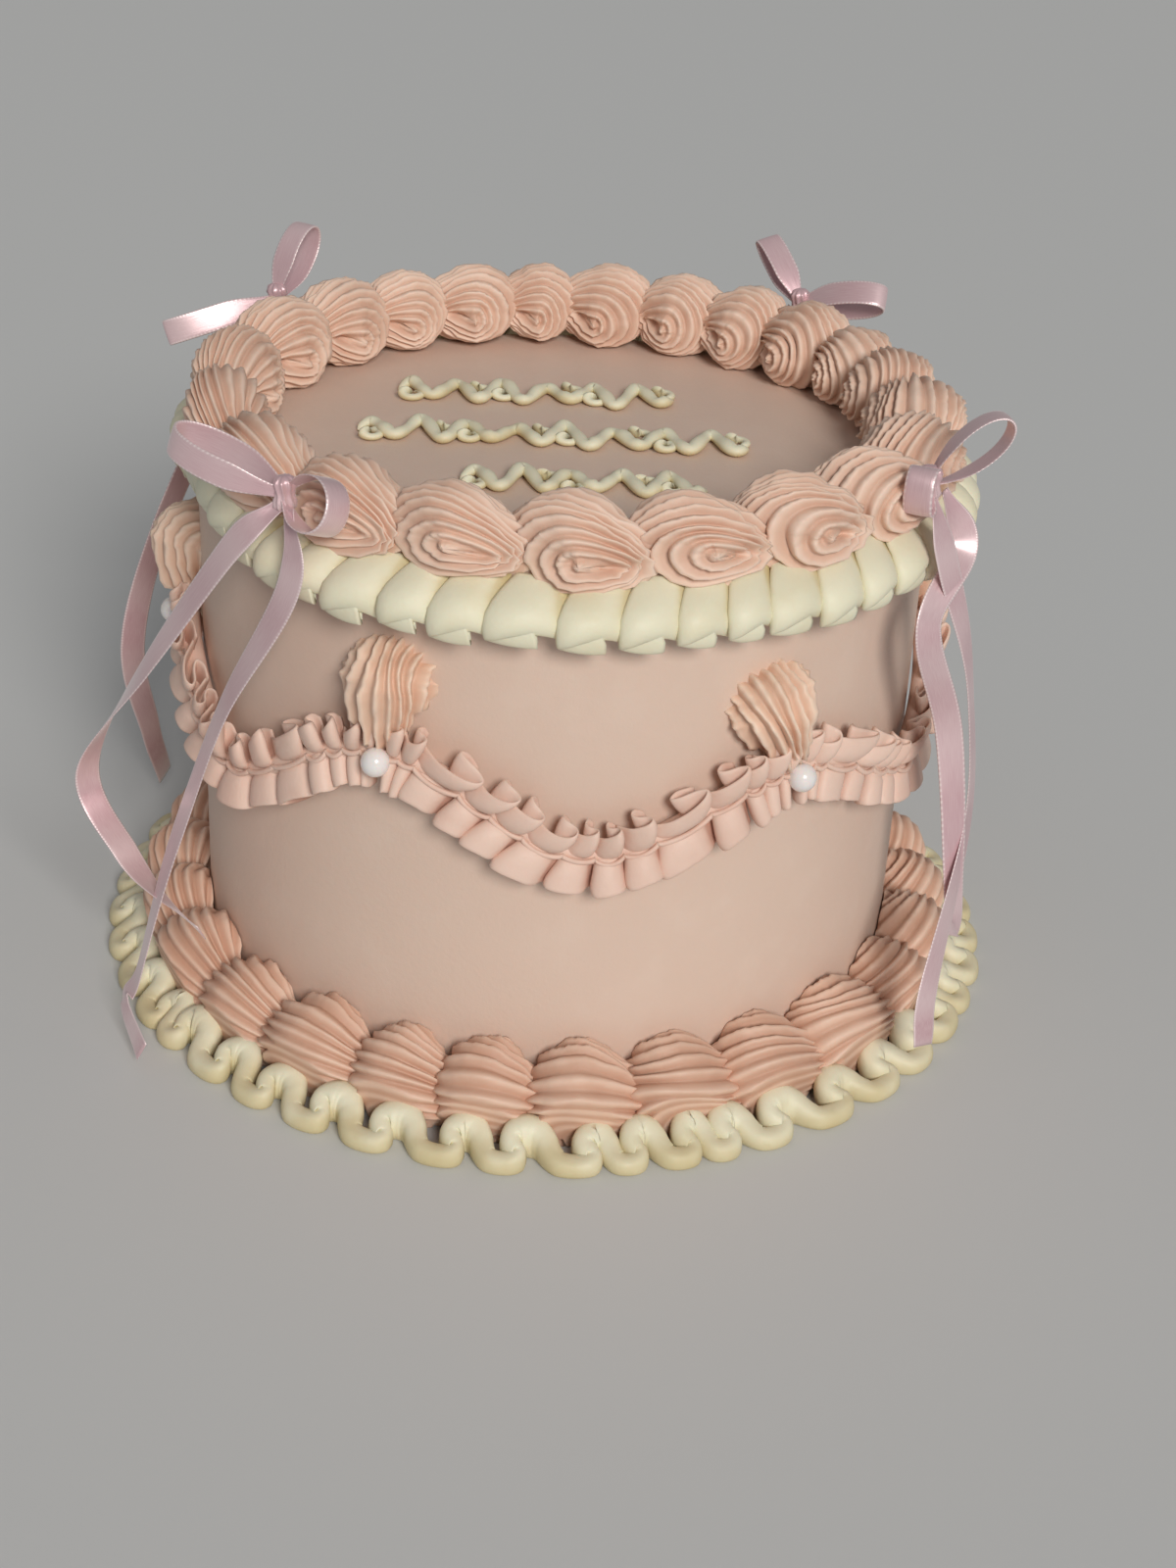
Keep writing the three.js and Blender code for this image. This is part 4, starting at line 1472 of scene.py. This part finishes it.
@dataclass(frozen=True)
class Body:
    """The cake itself under its smooth coat."""

    node: str = "cake_body"
    edge: float = 2.4
    foot: float = 0.6
    wall_rows: int = 30
    edge_rows: int = 6
    top_rows: int = 12
    steps: int = 240
    unevenness: float = 0.12
    seed: int = 5

    def build(self) -> None:
        """Spins the coat's outline round the axis and makes it a little uneven."""
        _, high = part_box(self.node)
        radius, height = high.x / MM, high.z / MM
        rows = [(0.0, 0.0), (radius * 0.5, 0.0), (radius - self.foot, 0.0)]
        wall = height - self.edge - self.foot
        rows += [(radius, self.foot + wall * k / self.wall_rows) for k in range(self.wall_rows + 1)]
        for k in range(1, self.edge_rows + 1):
            angle = math.pi / 2 * k / self.edge_rows
            bend = (self.edge * math.cos(angle), self.edge * math.sin(angle))
            rows.append((radius - self.edge + bend[0], height - self.edge + bend[1]))
        rows += [(radius * k / self.top_rows, height) for k in range(self.top_rows - 1, -1, -1)]
        form = bmesh.new()
        spots = [form.verts.new((reach, 0, level)) for reach, level in rows]
        for first, second in pairwise(spots):
            form.edges.new((first, second))
        spin(form, self.steps)
        bmesh.ops.remove_doubles(form, verts=form.verts, dist=1e-4)
        mesh = baked(form, "frosted_cake")
        points = np.array([vert.co for vert in mesh.vertices])
        hand = Hand(self.seed)
        turn = np.arctan2(points[:, 1], points[:, 0])
        reach = np.hypot(points[:, 0], points[:, 1])
        ease = np.where(reach > radius * 0.9, self.unevenness, 0)
        waved = hand.wobble(turn, (2, 3, 5)) * hand.wobble(points[:, 2] * 0.05, (1, 2))
        points[:, :2] *= (1 + ease * (waved - 1) / np.maximum(reach, 1))[:, None]
        mesh.vertices.foreach_set("co", points.ravel() * MM)
        mesh.update()
        place_mesh(mesh, BLUSH, self.node)


@dataclass(frozen=True)
class Studio:
    """The camera, the floor and the soft light. Lengths are metres."""

    distance: float = 0.5068
    height: float = 0.3113
    pan: float = 0.0169
    pitch: float = 0.4968
    roll: float = 0.0521
    lens: float = 56.25
    clip: Pair = (0.01, 50)
    floor_half: float = 6.0
    window_from: Triple = (0.25, -0.83, 0.5)
    window_strength: float = 2.1
    window_angle: float = 0.35
    window_colour: Triple = (1, 0.97, 0.93)
    room_strength: float = 0.255
    room_colour: Triple = (0.83, 0.84, 0.85)

    def set_camera(self) -> None:
        """Stands the camera where the photograph was taken from."""
        level = math.cos(self.pitch)
        forward = Vector((math.sin(self.pan) * level, math.cos(self.pan) * level, -math.sin(self.pitch)))
        right = Vector((math.cos(self.pan), -math.sin(self.pan), 0))
        up = right.cross(forward)
        rolled = math.cos(self.roll) * right + math.sin(self.roll) * up
        raised = math.cos(self.roll) * up - math.sin(self.roll) * right
        camera = shown("camera", bpy.data.cameras.new("camera"))
        camera.data.lens = self.lens
        camera.data.clip_start, camera.data.clip_end = self.clip
        turn = Matrix((rolled, raised, -forward)).transposed().to_4x4()
        camera.matrix_world = Matrix.Translation((0, -self.distance, self.height)) @ turn
        bpy.context.scene.camera = camera

    def lay_floor(self) -> None:
        """Lays the plain pale floor."""
        form = bmesh.new()
        bmesh.ops.create_grid(form, x_segments=2, y_segments=2, size=self.floor_half)
        mesh = baked(form, "floor")
        mesh.materials.append(FLOOR.material())
        shown("floor", mesh)

    def light(self) -> None:
        """Sets the room's soft daylight, which comes from the front and a little right."""
        lamp = bpy.data.lights.new("window", "SUN")
        lamp.energy = self.window_strength
        lamp.angle = self.window_angle
        lamp.color = self.window_colour
        window = shown("window", lamp)
        window.rotation_mode = "QUATERNION"
        window.rotation_quaternion = (-Vector(self.window_from)).to_track_quat("-Z", "Y")
        world = bpy.data.worlds.new("room")
        world.use_nodes = True
        Net(world.node_tree).feed(
            world.node_tree.nodes["Background"], Color=self.room_colour, Strength=self.room_strength
        )
        bpy.context.scene.world = world
        bpy.context.scene.view_settings.view_transform = "Standard"


def main() -> None:
    """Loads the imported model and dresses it."""
    logging.basicConfig(level=logging.INFO, format="%(message)s")
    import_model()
    studio = Studio()
    studio.set_camera()
    studio.lay_floor()
    studio.light()
    for part in (Body(), TOP_SHELLS, FOOT_SHELLS, Collar(), FootRuffle(), Swags()):
        part.build()
    ribbon = Ribbon()
    for bow in BOWS:
        ribbon.tie(bow)
    for row in SCROLLS:
        row.build()


if __name__ == "__main__":
    main()
